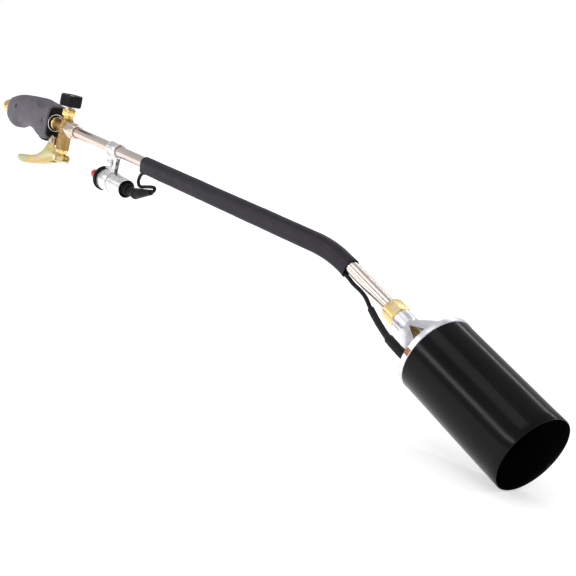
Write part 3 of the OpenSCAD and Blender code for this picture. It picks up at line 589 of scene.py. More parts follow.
# Grip sections: distance along x, underside, top, half width and squareness.
GRIP_SECTIONS = [
    (20, -12, 13, 9.9, 2.6), (26, -16.5, 16, 12.6, 2.6), (36, -20.3, 19.5, 14.1, 2.6), (48, -20.5, 22.5, 14.7, 2.7),
    (60, -15.5, 24.2, 15, 2.7), (74, -12.8, 25.8, 15, 2.8), (90, -12.6, 27.3, 15, 2.9), (102, -14.5, 28.2, 14.85, 3.1),
    (112, -18, 27.8, 14.4, 3.4), (124, -19, 26.8, 13.95, 3.8), (138, -16.5, 25.6, 13.5, 4.2),
]
REAR_SCREW = (53, 7.4)
SIDE_SCREW = (128.15, 4.2)
THUMB_BALL = (117, 32.8, 42.3)
GUARD_LIP = [(99, -12), (102, -16.5), (108, -20), (116, -21.6), (126, -21.2), (134, -19), (134, -12)]


def grip_section(x):
    """Middle height, half height, half width and squareness of the grip at a distance."""
    rows = GRIP_SECTIONS
    i = max(k for k in range(len(rows) - 1) if rows[k][0] <= x + 1e-6)
    keys = [rows[min(max(j, 0), len(rows) - 1)] for j in (i - 1, i, i + 1, i + 2)]
    t = (x - keys[1][0]) / (keys[2][0] - keys[1][0])
    low, high, wide, square = (
        0.5 * (2 * b + (c - a) * t + (2 * a - 5 * b + 4 * c - d) * t**2 + (3 * b - a - 3 * c + d) * t**3)
        for a, b, c, d in zip(*(key[1:] for key in keys))
    )
    return (low + high) / 2, (high - low) / 2, wide, square


def grip_ring(at, inset, x=None, count=96):
    """Points of the grip's section, moved in by an inset; x is where the section is read."""
    mid, tall, wide, square = grip_section(at if x is None else x)
    ring = []
    for k in range(count):
        a = 2 * math.pi * k / count
        y = math.copysign(abs(math.cos(a)) ** (2 / square), math.cos(a))
        z = math.copysign(abs(math.sin(a)) ** (2 / square), math.sin(a))
        ring.append(Vector((at, y * (wide - inset), mid + z * (tall - inset))) * MM)
    return ring


def grip_form(name, rings):
    """A solid through rings of the grip, each (x, inset) or (x, inset, x of its section)."""
    piece = first_ring(name, 96)
    bpy.ops.object.mode_set(mode="EDIT")
    bpy.ops.mesh.select_all(action="SELECT")
    for _ in rings[1:]:
        bpy.ops.mesh.extrude_region_move()
    bpy.ops.object.mode_set(mode="OBJECT")
    places = [p for ring in rings for p in grip_ring(*ring)]
    for vertex, place in zip(piece.data.vertices, places):
        vertex.co = place
    bpy.ops.object.mode_set(mode="EDIT")
    return closed(piece)


def grip_body(name, back, front):
    """The grip's outer form with rounded ends and a hollow front."""
    rings = [(back, 2.2), (back + 0.3, 1.0, back), (back + 1.0, 0.15, back)]
    rings += [(x, 0) for x in (back + k * 2.0 for k in range(1, int((front - back) / 2) + 1)) if x < front - 1]
    rings += [(front - 0.5, 0, front), (front, 0.5), (front, 2.2), (front - 7, 2.4)]
    return grip_form(name, rings)


class TORCH_OT_grip(bpy.types.Operator):
    """Two moulded shells with thumb hollows and screw holes, and the screws"""

    bl_idname = "torch.grip"
    bl_label = "Grip"

    def execute(self, context):
        back, front = ends("grip_left_half")
        for name, side in (("grip_left_half", 1), ("grip_right_half", -1)):
            shell = grip_body("shell_" + name, back, front)
            x, y, z = THUMB_BALL
            combine(shell, "DIFFERENCE", turned("thumb", ball(32), moved(x, side * y, z), 96))
            combine(shell, "DIFFERENCE", turned("bore", [(0, 3), (9.2, 3)], self.side_screw(side, 20), 32))
            if side < 0:
                bore = turned("bore", [(-20, 3), (-10.8, 3)], across(REAR_SCREW[0], 0, REAR_SCREW[1]), 32)
                combine(shell, "DIFFERENCE", bore)
            combine(shell, "DIFFERENCE", turned("way", [(-30, 6.6), (7, 6.6)], moved(back, 0, 0) @ ALONG_X, 48))
            low, high = (-40, 0.06) if side > 0 else (-0.06, 40)
            combine(shell, "DIFFERENCE", side_plate("half", [(0, -60), (200, -60), (200, 60), (0, 60)], low, high))
            softened(shell, 0.0004, 2, 0.75)
            fitted(shell, "torch", "grip_plastic", name, angle=0.6)
        spots = [(across(REAR_SCREW[0], -12.8, REAR_SCREW[1]), 21.8)]
        spots += [(self.side_screw(side, 12.8), 4.7) for side in (-1, 1)]
        for k, (place, length) in enumerate(spots, 1):
            stations = [(0, 2.3), (0.4, 2.8), (2, 2.9), (2, 1.5), (length, 1.5)]
            head = turned(f"grip_screw_{k}", stations, place, 32)
            combine(head, "DIFFERENCE", hexagon("key", 2.5, 1.4, place @ moved(0, 0, -0.2)))
            fitted(head, "torch", "steel", "grip_screws", angle=0.5)
        return {"FINISHED"}

    def side_screw(self, side, out):
        """At a side screw, a distance out from the middle, pointing inwards."""
        return moved(SIDE_SCREW[0], side * out, SIDE_SCREW[1]) @ Matrix.Rotation(side * math.pi / 2, 4, "X")


def ball(radius, count=32):
    """Stations of a ball about its middle, without its two poles."""
    return [(-radius * math.cos(math.pi * k / count), radius * math.sin(math.pi * k / count)) for k in range(1, count)]


class TORCH_OT_collar(bpy.types.Operator):
    """Black front plate with the finger guard's lip, and the ring round the valve's boss"""

    bl_idname = "torch.collar"
    bl_label = "Front collar"

    def execute(self, context):
        _, front = ends("front_collar")
        rings = [(133.6, 2.45), (front - 0.6, 2.45, front), (front, 3.05), (front, 4.6), (front - 0.5, 5.1, front)]
        plate = grip_form("collar_plate", rings)
        combine(plate, "DIFFERENCE", turned("hole", [(-2, 9.7), (2, 9.7), (2, 10.8), (12, 10.8)], on_lance(133.6), 64))
        lip = softened(side_plate("lip", GUARD_LIP, -4.5, 4.5), 0.0012, 3, 0.9)
        combine(plate, "UNION", lip)
        fitted(plate, "torch", "black_plastic", "front_collar", angle=0.5)
        start, stop = ends("mounting_ring")
        ring = ring_wall("boss_ring", 10.8, 9.7, stop - start, on_lance(start), 0.35)
        fitted(ring, "torch", "galvanised", "mounting_ring")
        return {"FINISHED"}


# ---------- valve ----------


class TORCH_OT_valve_body(bpy.types.Operator):
    """Sand-cast valve body with its machined boss and threaded neck"""

    bl_idname = "torch.valve_body"
    bl_label = "Valve body"

    def execute(self, context):
        boss = turned("valve_casting", [(0, 7.6), (0.4, 8), (16.5, 8), (19.5, 6.7), (41, 6.6)], on_lance(124.3))
        hub = turned("hub", ball(9.4), on_valve(0))
        barrel = turned("barrel", [(-29, 7.7), (-28.6, 8), (0, 8), (0, 7.6), (9.4, 7.6), (10.4, 6.4), (12, 6)], on_valve(0))
        outlet = turned("outlet", [(0, 8.4), (7.6, 8.4), (8.4, 7.4), (18.8, 7)], on_lance(VALVE_X), 64)
        lug = prism("lug", [(-4.4, -5.6), (4.4, -5.6), (4.4, 5.6), (-4.4, 5.6)], 12, moved(PIVOT.x, 0, PIVOT.z) @ ALONG_X)
        eye = turned("eye", [(-5.6, 4.4), (5.6, 4.4)], across(PIVOT.x, 0, PIVOT.z), 48)
        body = joined(boss, hub, barrel, outlet, lug, eye)
        cast(body, 0.5, 5)
        combine(body, "DIFFERENCE", turned("stub", [(9.2, 7.05), (30, 7.05)], on_lance(VALVE_X), 64))
        fitted(body, "torch", "cast_brass", "valve_body", angle=1.2)
        rim = [(138.6, 7.4), (138.6, 7.9), (139, 8.25), (141.2, 8.25), (141.9, 7.9), (142.1, 7.4)]
        rim = turned("boss_rim", rim, on_lance(0), bored=True)
        fitted(rim, "torch", "turned_brass", "valve_body", angle=0.9)
        stub = turned("outlet_stub", [(8.8, 7), (18.6, 7), (18.9, 6.7), (18.9, 3), (8.8, 3)], on_lance(VALVE_X), 64, True)
        fitted(stub, "torch", "turned_brass", "valve_body")
        thread = [(10.3, 5.4)]
        for k in range(5):
            thread += [(10.5 + k, 5.6), (10.85 + k, 6.12), (11.1 + k, 6.12), (11.4 + k, 5.6)]
        thread += [(15.6, 5.4), (20, 5.4)]
        fitted(turned("neck_thread", thread, on_valve(0)), "torch", "turned_brass", "valve_body", angle=0.4)
        foot = ring_wall("barrel_foot", 8.04, 6.05, 2.2, on_valve(-29.02), 0.35)
        fitted(foot, "torch", "turned_brass", "valve_body")
        return {"FINISHED"}


class TORCH_OT_neck(bpy.types.Operator):
    """Packing nut, flow knob and its screw"""

    bl_idname = "torch.neck"
    bl_label = "Packing nut and knob"

    def execute(self, context):
        sizes = context.scene.torch_sizes
        nut = hexagon("packing_hexagon", 15, 8.3, on_valve(14.4), bore=6.02)
        fitted(softened(nut, sizes.edge), "torch", "turned_brass", "packing_nut")
        cap = turned("packing_cap", [(22.6, 6.6), (23.0, 6.6), (23.4, 6.1), (24.2, 5.9), (24.2, 2.3), (22.6, 2.3)],
                     on_valve(0), bored=True)
        fitted(cap, "torch", "turned_brass", "packing_nut", angle=0.4)
        knob_r, lobe_r, lobes = sizes.knob / 2 / MM, 5, 6
        centre = knob_r - lobe_r
        outline = []
        for k in range(144):
            a = math.pi / 2 + 2 * math.pi * k / 144
            off = (a - math.pi / lobes) % (2 * math.pi / lobes)
            off = min(off, 2 * math.pi / lobes - off)
            reach = centre * math.cos(off) + math.sqrt(lobe_r**2 - (centre * math.sin(off)) ** 2)
            r = math.log(math.exp(reach * 2.2) + math.exp((knob_r - 1.7) * 2.2)) / 2.2 - 0.12
            r = min(r, knob_r)
            outline.append((r * math.cos(a), r * math.sin(a)))
        low, high = ends("flow_knob", 2)
        tall = high - low
        steps = [(0, 0, 0.90, 0.90, 0), (0.35, 0, 0.955, 0.955, 0), (1.1, 0, 0.985, 0.985, 0), (1.8, 0, 0.99, 0.99, 0)]
        steps += [(tall * 0.5, 0, 1, 1, 0), (tall - 1.4, 0, 0.99, 0.99, 0), (tall - 0.5, 0, 0.965, 0.965, 0)]
        steps += [(tall - 0.05, 0, 0.91, 0.91, 0), (tall, 0, 0.86, 0.86, 0), (tall - 0.5, 0, 0.80, 0.80, 0)]
        knob = lofted("knob", outline, steps, moved(VALVE_X, 0, low))
        combine(knob, "DIFFERENCE", turned("well", [(-1.8, 4.4), (4, 4.4)], moved(VALVE_X, 0, high), 48))
        combine(knob, "DIFFERENCE", turned("shaft", [(-3, 2.25), (9, 2.25)], moved(VALVE_X, 0, low), 48))
        fitted(knob, "knob", "knob_plastic", "flow_knob", angle=0.5)
        screw = turned("knob_screw_head", [(-3, 1.5), (0, 1.5), (0, 3), (0.8, 3), (1.35, 2.5), (1.55, 1.2)],
                       moved(VALVE_X, 0, high - 1.8), 48)
        slot = side_plate("slot", [(VALVE_X - 0.4, high - 0.9), (VALVE_X + 0.4, high - 0.9), (VALVE_X + 0.4, high + 2),
                                   (VALVE_X - 0.4, high + 2)], -4, 4)
        combine(screw, "DIFFERENCE", slot)
        fitted(screw, "knob", "steel", "knob_screw", angle=0.5)
        return {"FINISHED"}


LEVER_TOP = [(67, -53.5), (72, -50.5), (84, -48), (99, -45.5), (113, -42), (124, -37), (133, -30), (139, -22), (142, -15)]
LEVER_BOTTOM = [(67, -55.5), (72, -58), (84, -58.3), (103, -55.3), (120, -51.5), (135, -47.2), (150, -42.3)]


class TORCH_OT_lever(bpy.types.Operator):
    """Squeeze lever pressed as a channel, with its fork and pivot rivet"""

    bl_idname = "torch.lever"
    bl_label = "Squeeze lever"

    def execute(self, context):
        ear = [(PIVOT.x + 6.2 * math.cos(math.radians(a)), PIVOT.z + 6.2 * math.sin(math.radians(a)))
               for a in range(165, -1, -15)]
        top = [(p.x, p.y) for p in smooth_route([(x, z, 0) for x, z in LEVER_TOP], 4)]
        bottom = [(p.x, p.y) for p in smooth_route([(x, z, 0) for x, z in LEVER_BOTTOM], 4)]
        fork = [(156.6, -22), (158.4, -30.1), (160, -29.6), (173.5, -29.6), (175.5, -31.6), (175.5, -35.5),
                (172.5, -38.5), (163, -38.1)]
        outline = top + ear + fork + bottom[::-1]
        lever = side_plate("lever", outline, -7.5, 7.5)
        low_edge = {(round(x, 2), round(z, 2)) for x, z in bottom}
        weights = lever.data.attributes.new("bevel_weight_edge", "FLOAT", "EDGE").data
        for edge in lever.data.edges:
            a, b = (lever.data.vertices[i].co / MM for i in edge.vertices)
            if a.y * b.y > 0 and all((round(p.x, 2), round(p.z, 2)) in low_edge for p in (a, b)):
                weights[edge.index].value = 1
        modified(lever, "BEVEL", width=0.0021, segments=4, limit_method="WEIGHT")
        floor = [(x, z + 1.5) for x, z in bottom if 69 < x < 147]
        hollow = [(floor[0][0], 0), *floor, (147, floor[-1][1]), (147, -70), (190, -70), (190, 0)]
        combine(lever, "DIFFERENCE", side_plate("hollow", hollow, -6, 6))
        combine(lever, "DIFFERENCE", turned("eye", [(-10, 2.05), (10, 2.05)], across(PIVOT.x, 0, PIVOT.z), 32))
        slot = [(PIN.x + 2.25 * math.cos(math.radians(a)), PIN.z + 2.25 * math.sin(math.radians(a)))
                for a in range(90, 271, 15)]
        slot += [(PIN.x + 3.96 + 2.25 * math.cos(math.radians(a)), PIN.z + 0.43 + 2.25 * math.sin(math.radians(a)))
                 for a in range(-90, 91, 15)]
        combine(lever, "DIFFERENCE", side_plate("slot", slot, -10, 10))
        softened(lever, 0.00035, 2, 0.7)
        fitted(lever, "lever", "zinc_yellow", "squeeze_lever", angle=0.6)
        rivet = [(0, 2.3), (0.25, 2.85), (0.7, 3), (1, 3), (1, 2), (18.2, 2), (18.2, 3), (18.6, 2.95), (19.1, 2.4)]
        fitted(turned("lever_rivet", rivet, across(PIVOT.x, -9.6, PIVOT.z), 40), "torch", "steel", "lever_pin")
        return {"FINISHED"}


class TORCH_OT_plunger(bpy.types.Operator):
    """Gland, plunger end, its nut, the cross pin and its clip"""

    bl_idname = "torch.plunger"
    bl_label = "Plunger"

    def execute(self, context):
        gland = [(-32, 5.6), (-31.8, 6.1), (-31, 6.9), (-30.6, 7), (-29.0, 7), (-29.0, 6), (-23, 6), (-23, 2.46), (-32, 2.46)]
        fitted(turned("gland_nose", gland, on_valve(0), bored=True), "torch", "turned_brass", "plunger_gland", angle=0.5)
        stem = [(-45, 2.0), (-44.6, 2.4), (-40.5, 2.4), (-40.5, 3.3), (-40.0, 3.8), (-34.9, 3.8), (-34.4, 3.4), (-34.4, 2.4), (-7.6, 2.4)]
        stem += [(-7.6, 4.8), (-5, 4.8)]
        fitted(turned("plunger_stem", stem, on_valve(0), 48), "plunger", "satin_brass", "plunger", angle=0.5)
        nut = hexagon("plunger_lock_nut", 7.5, 5, on_valve(-45.5), bore=2.4)
        fitted(softened(nut, 0.00015), "plunger", "galvanised", "plunger_nut")
        pin = [(0, 1.4), (0.3, 1.7), (17.8, 1.7), (17.8, 2.9), (18.1, 3.2), (19.7, 3.2), (20.2, 2.6)]
        fitted(turned("cross_pin_shank", pin, across(PIN.x, -9.6, PIN.z), 40), "plunger", "turned_brass", "cross_pin")
        clip = ring_wall("cross_pin_clip", 3.1, 1.7, 0.9, across(PIN.x, -9.3, PIN.z), 0.2, 40)
        fitted(clip, "plunger", "galvanised", "pin_clip")
        return {"FINISHED"}


# ---------- lance, clamp and igniter ----------


class TORCH_OT_lance(bpy.types.Operator):
    """Bent lance tube and its union nut"""

    bl_idname = "torch.lance"
    bl_label = "Lance"

    def execute(self, context):
        sizes = context.scene.torch_sizes
        r = sizes.lance / 2 / MM
        start, _ = ends("lance_tube")
        circle = [(math.cos(a), math.sin(a)) for a in (math.pi / 2 + 2 * math.pi * k / 48 for k in range(48))]
        stations = [(x, z, r, r, a) for x, z, a in lance_stations(sizes, start, 99, 24)]
        tube = lofted("lance", circle, stations, on_lance(0), fill=False)
        modified(tube, "SOLIDIFY", thickness=0.0012, offset=-1)
        fitted(tube, "torch", "nickel", "lance_tube")
        start, stop = ends("union_nut")
        nut = hexagon("union_hexagon", 17.5, 15, on_lance(start), bore=6.45)
        fitted(softened(nut, sizes.edge), "torch", "nickel", "union_nut")
        collar = [(14.8, 8.4), (15.4, 8.6), (20.2, 8.6), (21, 8.0), (21, 6.9), (20.3, 6.45), (14.8, 6.45)]
        fitted(turned("union_collar", collar, on_lance(start), bored=True), "torch", "nickel", "union_nut", angle=0.5)
        return {"FINISHED"}


LEAD_ASIDE = (-3.5, -7.7)


def sleeve_outline(big, small, count=72):
    """The sleeve's section: it hugs the lance and, below it, the lead."""
    outline = []
    y0, z0 = LEAD_ASIDE
    far = math.hypot(y0, z0)
    toward = (-z0 / far, y0 / far)
    lean = math.acos((big - small) / far)
    for k in range(count):
        a = math.pi / 2 + 2 * math.pi * k / count
        dx, dy = math.cos(a), math.sin(a)
        reach = big
        t = dx * toward[0] + dy * toward[1]
        s = dx * toward[1] - dy * toward[0]
        if t > 0:
            if abs(math.atan2(s, t)) < lean:
                wall = big / (t * math.cos(lean) + abs(s) * math.sin(lean))
                beyond = far * t
                inside = small**2 - (far * s) ** 2
                tip = beyond + math.sqrt(inside) if inside > 0 else 0
                edge = math.atan2(small * math.sin(lean), far + small * math.cos(lean))
                reach = tip if abs(math.atan2(s, t)) < edge else wall
        outline.append((reach * dx, reach * dy))
    return outline


class TORCH_OT_sleeve(bpy.types.Operator):
    """Heat-shrink sleeve over the lance and the lead"""

    bl_idname = "torch.sleeve"
    bl_label = "Sleeve"

    def execute(self, context):
        sizes = context.scene.torch_sizes
        start, _ = ends("heat_shrink_sleeve")
        big, small = sizes.lance / 2 / MM + 1.2, 3.2
        stations = lance_stations(sizes, start, 30, 5, 24)
        steps = [(x, z, 1, 1, a) for x, z, a in stations]
        sleeve = lofted("sleeve", sleeve_outline(big, small), steps, on_lance(0), fill=False)
        modified(sleeve, "SOLIDIFY", thickness=0.0009, offset=-1)
        softened(sleeve, 0.0003, 2, 1.0)
        crease = bpy.data.textures.new("sleeve_creases", "CLOUDS")
        crease.noise_scale = 0.03
        crease.noise_depth = 3
        modified(sleeve, "DISPLACE", texture=crease, texture_coords="LOCAL", strength=0.0007, mid_level=0.62)
        fitted(sleeve, "torch", "sleeve_rubber", "heat_shrink_sleeve")
        return {"FINISHED"}


class TORCH_OT_clamp(bpy.types.Operator):
    """Sheet-metal clamp with its bolt and nut"""

    bl_idname = "torch.clamp"
    bl_label = "Clamp"

    def execute(self, context):
        start, stop = ends("clamp_strap")
        wide = stop - start
        lance_r = context.scene.torch_sizes.lance / 2 / MM
        drop = LANCE_Z - IGNITER_Z
        strap = prism("clamp", self.outline(lance_r + 1.3, 12.3, 3.2, drop), wide, on_lance(start))
        combine(strap, "DIFFERENCE", prism("inside", self.outline(lance_r + 0.05, 11.05, 2, drop), wide + 4, on_lance(start - 2)))
        bolt_z = LANCE_Z - (lance_r + drop - 11) / 2
        combine(strap, "DIFFERENCE", turned("bolt_hole", [(-10, 2.6), (10, 2.6)], across(CLAMP_X, 0, bolt_z), 32))
        softened(strap, 0.0003, 2, 0.6)
        fitted(strap, "torch", "galvanised", "clamp_strap", angle=0.6)
        for k, x in enumerate((start, stop - 1.7), 1):
            bead = [(0, lance_r + 0.6), (0, lance_r + 1.6), (0.4, lance_r + 2.1), (0.85, lance_r + 2.2)]
            bead += [(1.3, lance_r + 2.1), (1.7, lance_r + 1.6), (1.7, lance_r + 0.6)]
            fitted(turned(f"clamp_bead_{k}", bead, on_lance(x), bored=True), "torch", "galvanised", "clamp_strap")
        head = hexagon("clamp_bolt_head", 8, 3.2, across(CLAMP_X, -6.7, bolt_z))
        fitted(softened(head, 0.0002), "torch", "galvanised", "clamp_bolt")
        shank = [(0, 2.1), (0.4, 2.45)] + [(0.6 + 0.4 * k, 2.45 if k % 2 else 2.2) for k in range(28)] + [(12.2, 2.0)]
        fitted(turned("clamp_bolt_shank", shank, across(CLAMP_X, -3.3, bolt_z), 32), "torch", "galvanised", "clamp_bolt")
        nut = hexagon("clamp_hexagon_nut", 8, 4, across(CLAMP_X, 3.2, bolt_z), bore=2.45)
        fitted(softened(nut, 0.0002), "torch", "galvanised", "clamp_nut")
        return {"FINISHED"}

    def outline(self, small, big, neck, drop, count=40):
        """Round the lance, down both sides of the neck and round the igniter."""
        outline = []
        low = math.asin(neck / small)
        for k in range(count + 1):
            a = low + (2 * math.pi - 2 * low) * k / count
            outline.append((small * math.cos(a), small * math.sin(a)))
        low = math.asin(neck / big)
        for k in range(count + 1):
            a = -math.pi + low + (2 * math.pi - 2 * low) * k / count
            outline.append((drop + big * math.cos(a), big * math.sin(a)))
        return outline


class TORCH_OT_igniter(bpy.types.Operator):
    """Piezo igniter: button, bezel, housing, stub and terminal boot"""

    bl_idname = "torch.igniter"
    bl_label = "Igniter"

    def execute(self, context):
        start, stop = ends("igniter_housing")
        tube = [(0, 10.7), (0.3, 11), (47.5, 11), (48.3, 10.9), (stop - start, 10.5), (stop - start, 10.05), (48, 9.98), (0, 9.98)]
        fitted(turned("igniter_tube", tube, on_igniter(start), 80, True), "torch", "galvanised", "igniter_housing", angle=0.5)
        back, _ = ends("piezo_body")
        bezel = [(0, 5.25), (0, 6.9), (0.5, 7.5), (4.6, 7.5), (5, 8.2), (5, 13.2), (5.5, 13.9), (6.2, 14.2), (8.6, 14.2)]
        bezel += [(9.4, 13.9), (9.8, 13.2), (9.8, 9.95), (50, 9.95), (52.5, 9.3), (53.5, 8.2), (53.5, 7)]
        for k in range(5):
            bezel += [(54.4 + 2.1 * k, 7), (54.9 + 2.1 * k, 6.4), (55.9 + 2.1 * k, 6.4), (56.3 + 2.1 * k, 7)]
        bezel += [(65.5, 6.6), (65.7, 5.2), (78, 5.2), (78, 1.5), (29.5, 1.5), (29.5, 5.25)]
        fitted(turned("piezo_case", bezel, on_igniter(back), 80, True), "torch", "piezo_black", "piezo_body", angle=0.45)
        out, _ = ends("igniter_button")
        knob = [(0, 2.2), (0.15, 3.4), (0.55, 4.4), (1.2, 4.95), (2, 5.1), (32.5, 5.1)]
        fitted(turned("button", knob, on_igniter(out), 56), "button", "red_plastic", "igniter_button", angle=0.9)
        tip = moved(346.5, 0, IGNITER_Z) @ Matrix.Rotation(math.radians(90 - 17), 4, "Y")
        boot = [(-6.2, 1.4), (-5.8, 2.9), (-4.6, 4.6), (-2.8, 5.8), (-0.6, 6.35), (2, 6.25), (3.4, 5.6), (4.2, 5.6), (5.2, 5.75)]
        boot += [(14, 4.75), (24, 3.7), (29.6, 3.1), (30.6, 3.15), (31, 2.9), (31, 1.95), (20, 1.95)]
        fitted(turned("boot", boot, tip, 56), "torch", "lead_rubber", "terminal_boot", angle=0.8)
        return {"FINISHED"}


# ---------- lead and electrode ----------

LEAD_REAR = [
    (352.2, 0, -30.2), (365, 0, -26.3), (376, 0, -23), (378.2, 0, -22.1), (380.3, 0, -20.3), (380.6, 0.4, -18.2), (378.2, 0.8, -17),
    (371, 1.2, -18), (360, 1.6, -20.6), (352, 1.6, -22.6), (347.4, 1.4, -22), (345.2, 1, -18.5),
    (346.2, 0.5, -14.5), (349.5, -0.6, -10.6), (355, -2, -7.2), (362, -2.9, -5.2), (368, -3.4, -4.1),
]
LEAD_FRONT = [
    (44, -4.1, -8.1), (56, -5.5, -6.9), (67, -8, -6.4), (78, -11.5, -7.4), (90, -15, -8.2),
    (104, -19.5, -8.2), (118, -24.2, -7.2), (128, -27.4, -6), (134, -28.5, -5.5), (138, -28.5, -5.5),
]


class TORCH_OT_lead(bpy.types.Operator):
    """Ignition lead and its two woven sleeves"""

    bl_idname = "torch.lead"
    bl_label = "Lead"

    def execute(self, context):
        sizes = context.scene.torch_sizes
        y, z = LEAD_ASIDE
        corner, radius, reach = sizes.corner / MM, sizes.bend_radius / MM, bend_reach(sizes)
        along = [(x, y, LANCE_Z + z) for x in range(374, int(corner - reach) - 12, 40)]
        for k in range(7):
            a = sizes.bend * k / 6
            along.append((corner - reach + (radius + z) * math.sin(a), y, LANCE_Z - radius + (radius + z) * math.cos(a)))
        along.append(tuple(burner_point(sizes, 34, y, z)))
        front = [tuple(burner_point(sizes, *p)) for p in LEAD_FRONT]
        route = smooth_route(LEAD_REAR + along + front, 6)
        fitted(corded("lead", route, 1.9, 5), "torch", "lead_rubber", "ignition_lead", angle=1.2)
        fine = smooth_route(front, 10)
        small = [p for p in fine if burner_point(sizes, 79, 0, 0).x <= p.x <= burner_point(sizes, 122, 0, 0).x]
        fitted(self.woven("lead_sleeve_small", small, 3.0), "torch", "lead_braid", "lead_boot_small", angle=1.2)
        large = [p for p in fine if p.x >= burner_point(sizes, 121, 0, 0).x]
        large += [burner_point(sizes, d, -28.5, -5.5) for d in (140, 142, 144, 146, 148, 149.4)]
        fitted(self.woven("lead_sleeve_large", large, 4.1), "torch", "lead_braid", "lead_boot_large", angle=1.2)
        return {"FINISHED"}

    def woven(self, name, route, radius):
        """A woven tube, a little uneven along its length."""
        piece = corded(name, route, radius, 7)
        weave = bpy.data.textures.new(name, "CLOUDS")
        weave.noise_scale = 0.004
        modified(piece, "DISPLACE", texture=weave, texture_coords="LOCAL", strength=0.0006, mid_level=0.6)
        return softened(piece, 0.0004, 2, 1.0)


class TORCH_OT_electrode(bpy.types.Operator):
    """Ceramic insulator, spark rod and the clip on the ring"""

    bl_idname = "torch.electrode"
    bl_label = "Electrode"

    def execute(self, context):
        sizes = context.scene.torch_sizes
        place = on_burner(sizes, 140, -28.5, -5.5)
        body = [(0, 1.05), (0, 2.4), (0.4, 2.75), (26, 2.75), (27, 2.4), (35, 2.0), (36, 1.6), (36, 1.05)]
        fitted(turned("insulator", body, place, 48, True), "torch", "ceramic", "electrode_insulator", angle=0.8)
        rod = [burner_point(sizes, d, -28.5, -5.5) for d in (138.4, 160, 180, 183)]
        rod += [burner_point(sizes, 184 + k, -28.5 + 1.73 * k, -5.5) for k in range(1, 7)]
        fitted(corded("spark_rod", smooth_route(rod, 4), 1.0, 4), "torch", "steel", "electrode_rod", angle=1.2)
        turn = burner_frame(sizes) @ Matrix.Rotation(math.radians(175), 4, "X")
        strip = prism("clip", [(-2.8, 0), (2.8, 0), (2.8, 1.1), (-2.8, 1.1)], 4.4, turn @ moved(150.1, 34.2, 0) @ ALONG_X)
        fitted(softened(strip, 0.0003), "torch", "copper_clip", "electrode_clip")
        return {"FINISHED"}


# ---------- burner ----------


class TORCH_OT_carrier(bpy.types.Operator):
    """Orifice nut, jet, and the cast carrier of the bell"""

    bl_idname = "torch.carrier"
    bl_label = "Nut and carrier"

    def execute(self, context):
        sizes = context.scene.torch_sizes
        place = on_burner(sizes, 0)
        nut = hexagon("orifice_hexagon", 18, 15, on_burner(sizes, 89), bore=6.4)
        fitted(softened(nut, sizes.edge), "torch", "satin_brass", "orifice_nut")
        spigot = [(103.9, 7.0), (117.9, 7.0), (117.9, 3), (99.5, 3), (99.5, 6.3), (103.9, 6.3)]
        fitted(turned("orifice_spigot", spigot, place, bored=True), "torch", "satin_brass", "orifice_nut")
        jet = [(102.2, 1.8), (102.2, 3), (118.2, 3), (118.2, 5), (122, 5), (122.1, 4), (130, 2.6), (130, 0.5), (122, 0.5), (118, 1.8)]
        fitted(turned("jet", jet, place, 40, True), "torch", "turned_brass", "gas_jet", angle=0.5)
        bell_r = sizes.bell / 2 / MM
        ring_r = bell_r + 0.5
        hub = turned("carrier_casting", [(104, 7.0), (104, 9.0), (104.4, 9.2), (118, 9.2), (118, 7.0)], place, 64, True)
        cone = [(113.5, 8.2), (119, 9.9), (152.5, ring_r - 2.6), (152.5, ring_r - 5.6), (118.5, 6.6), (114, 6.6)]
        combine(hub, "UNION", turned("carrier_cone", cone, place, 96, True))
        frame_x = burner_frame(sizes)
        for k in range(5):
            turn = frame_x @ Matrix.Rotation(math.radians(183 + 72 * (k + 0.5)), 4, "X") @ SIDEWAYS.inverted()
            combine(hub, "DIFFERENCE", prism("window", [(121.5, 0), (148.6, -7.4), (148.6, 7.4)], 60, turn))
        notch = frame_x @ Matrix.Rotation(math.radians(215), 4, "X") @ moved(103, 6, 0) @ ALONG_X
        combine(hub, "DIFFERENCE", prism("notch", [(-0.9, 0), (0.9, 0), (0.9, 6), (-0.9, 6)], 11, notch))
        for low, high, r in ((108, 149.6, 4.4), (149, 160, 3)):
            combine(hub, "DIFFERENCE", turned("lead_way", [(low, r), (high, r)], on_burner(sizes, 0, -28.5, -5.5), 40))
        cast(hub, 0.5, 2)
        fitted(hub, "torch", "cast_aluminium", "bell_carrier", angle=0.8)
        ring = [(149.5, 31.4), (149.5, ring_r - 1.0), (149.8, ring_r - 0.3), (150.4, ring_r), (154.5, ring_r), (155, ring_r - 0.4)]
        ring += [(155, bell_r - 1.05), (164, bell_r - 1.05), (164, 31), (150, 31)]
        ring = turned("carrier_ring", ring, place, 128, True)
        pocket = frame_x @ Matrix.Rotation(math.radians(175), 4, "X") @ moved(150, 34.0, 0) @ ALONG_X
        combine(ring, "DIFFERENCE", prism("pocket", [(-3, 0), (3, 0), (3, 3), (-3, 3)], 4.6, pocket))
        combine(ring, "DIFFERENCE", turned("lead_way", [(140, 2.8), (170, 2.8)], on_burner(sizes, 0, -28.5, -5.5), 40))
        fitted(ring, "torch", "cast_aluminium", "bell_carrier", angle=0.5)
        return {"FINISHED"}


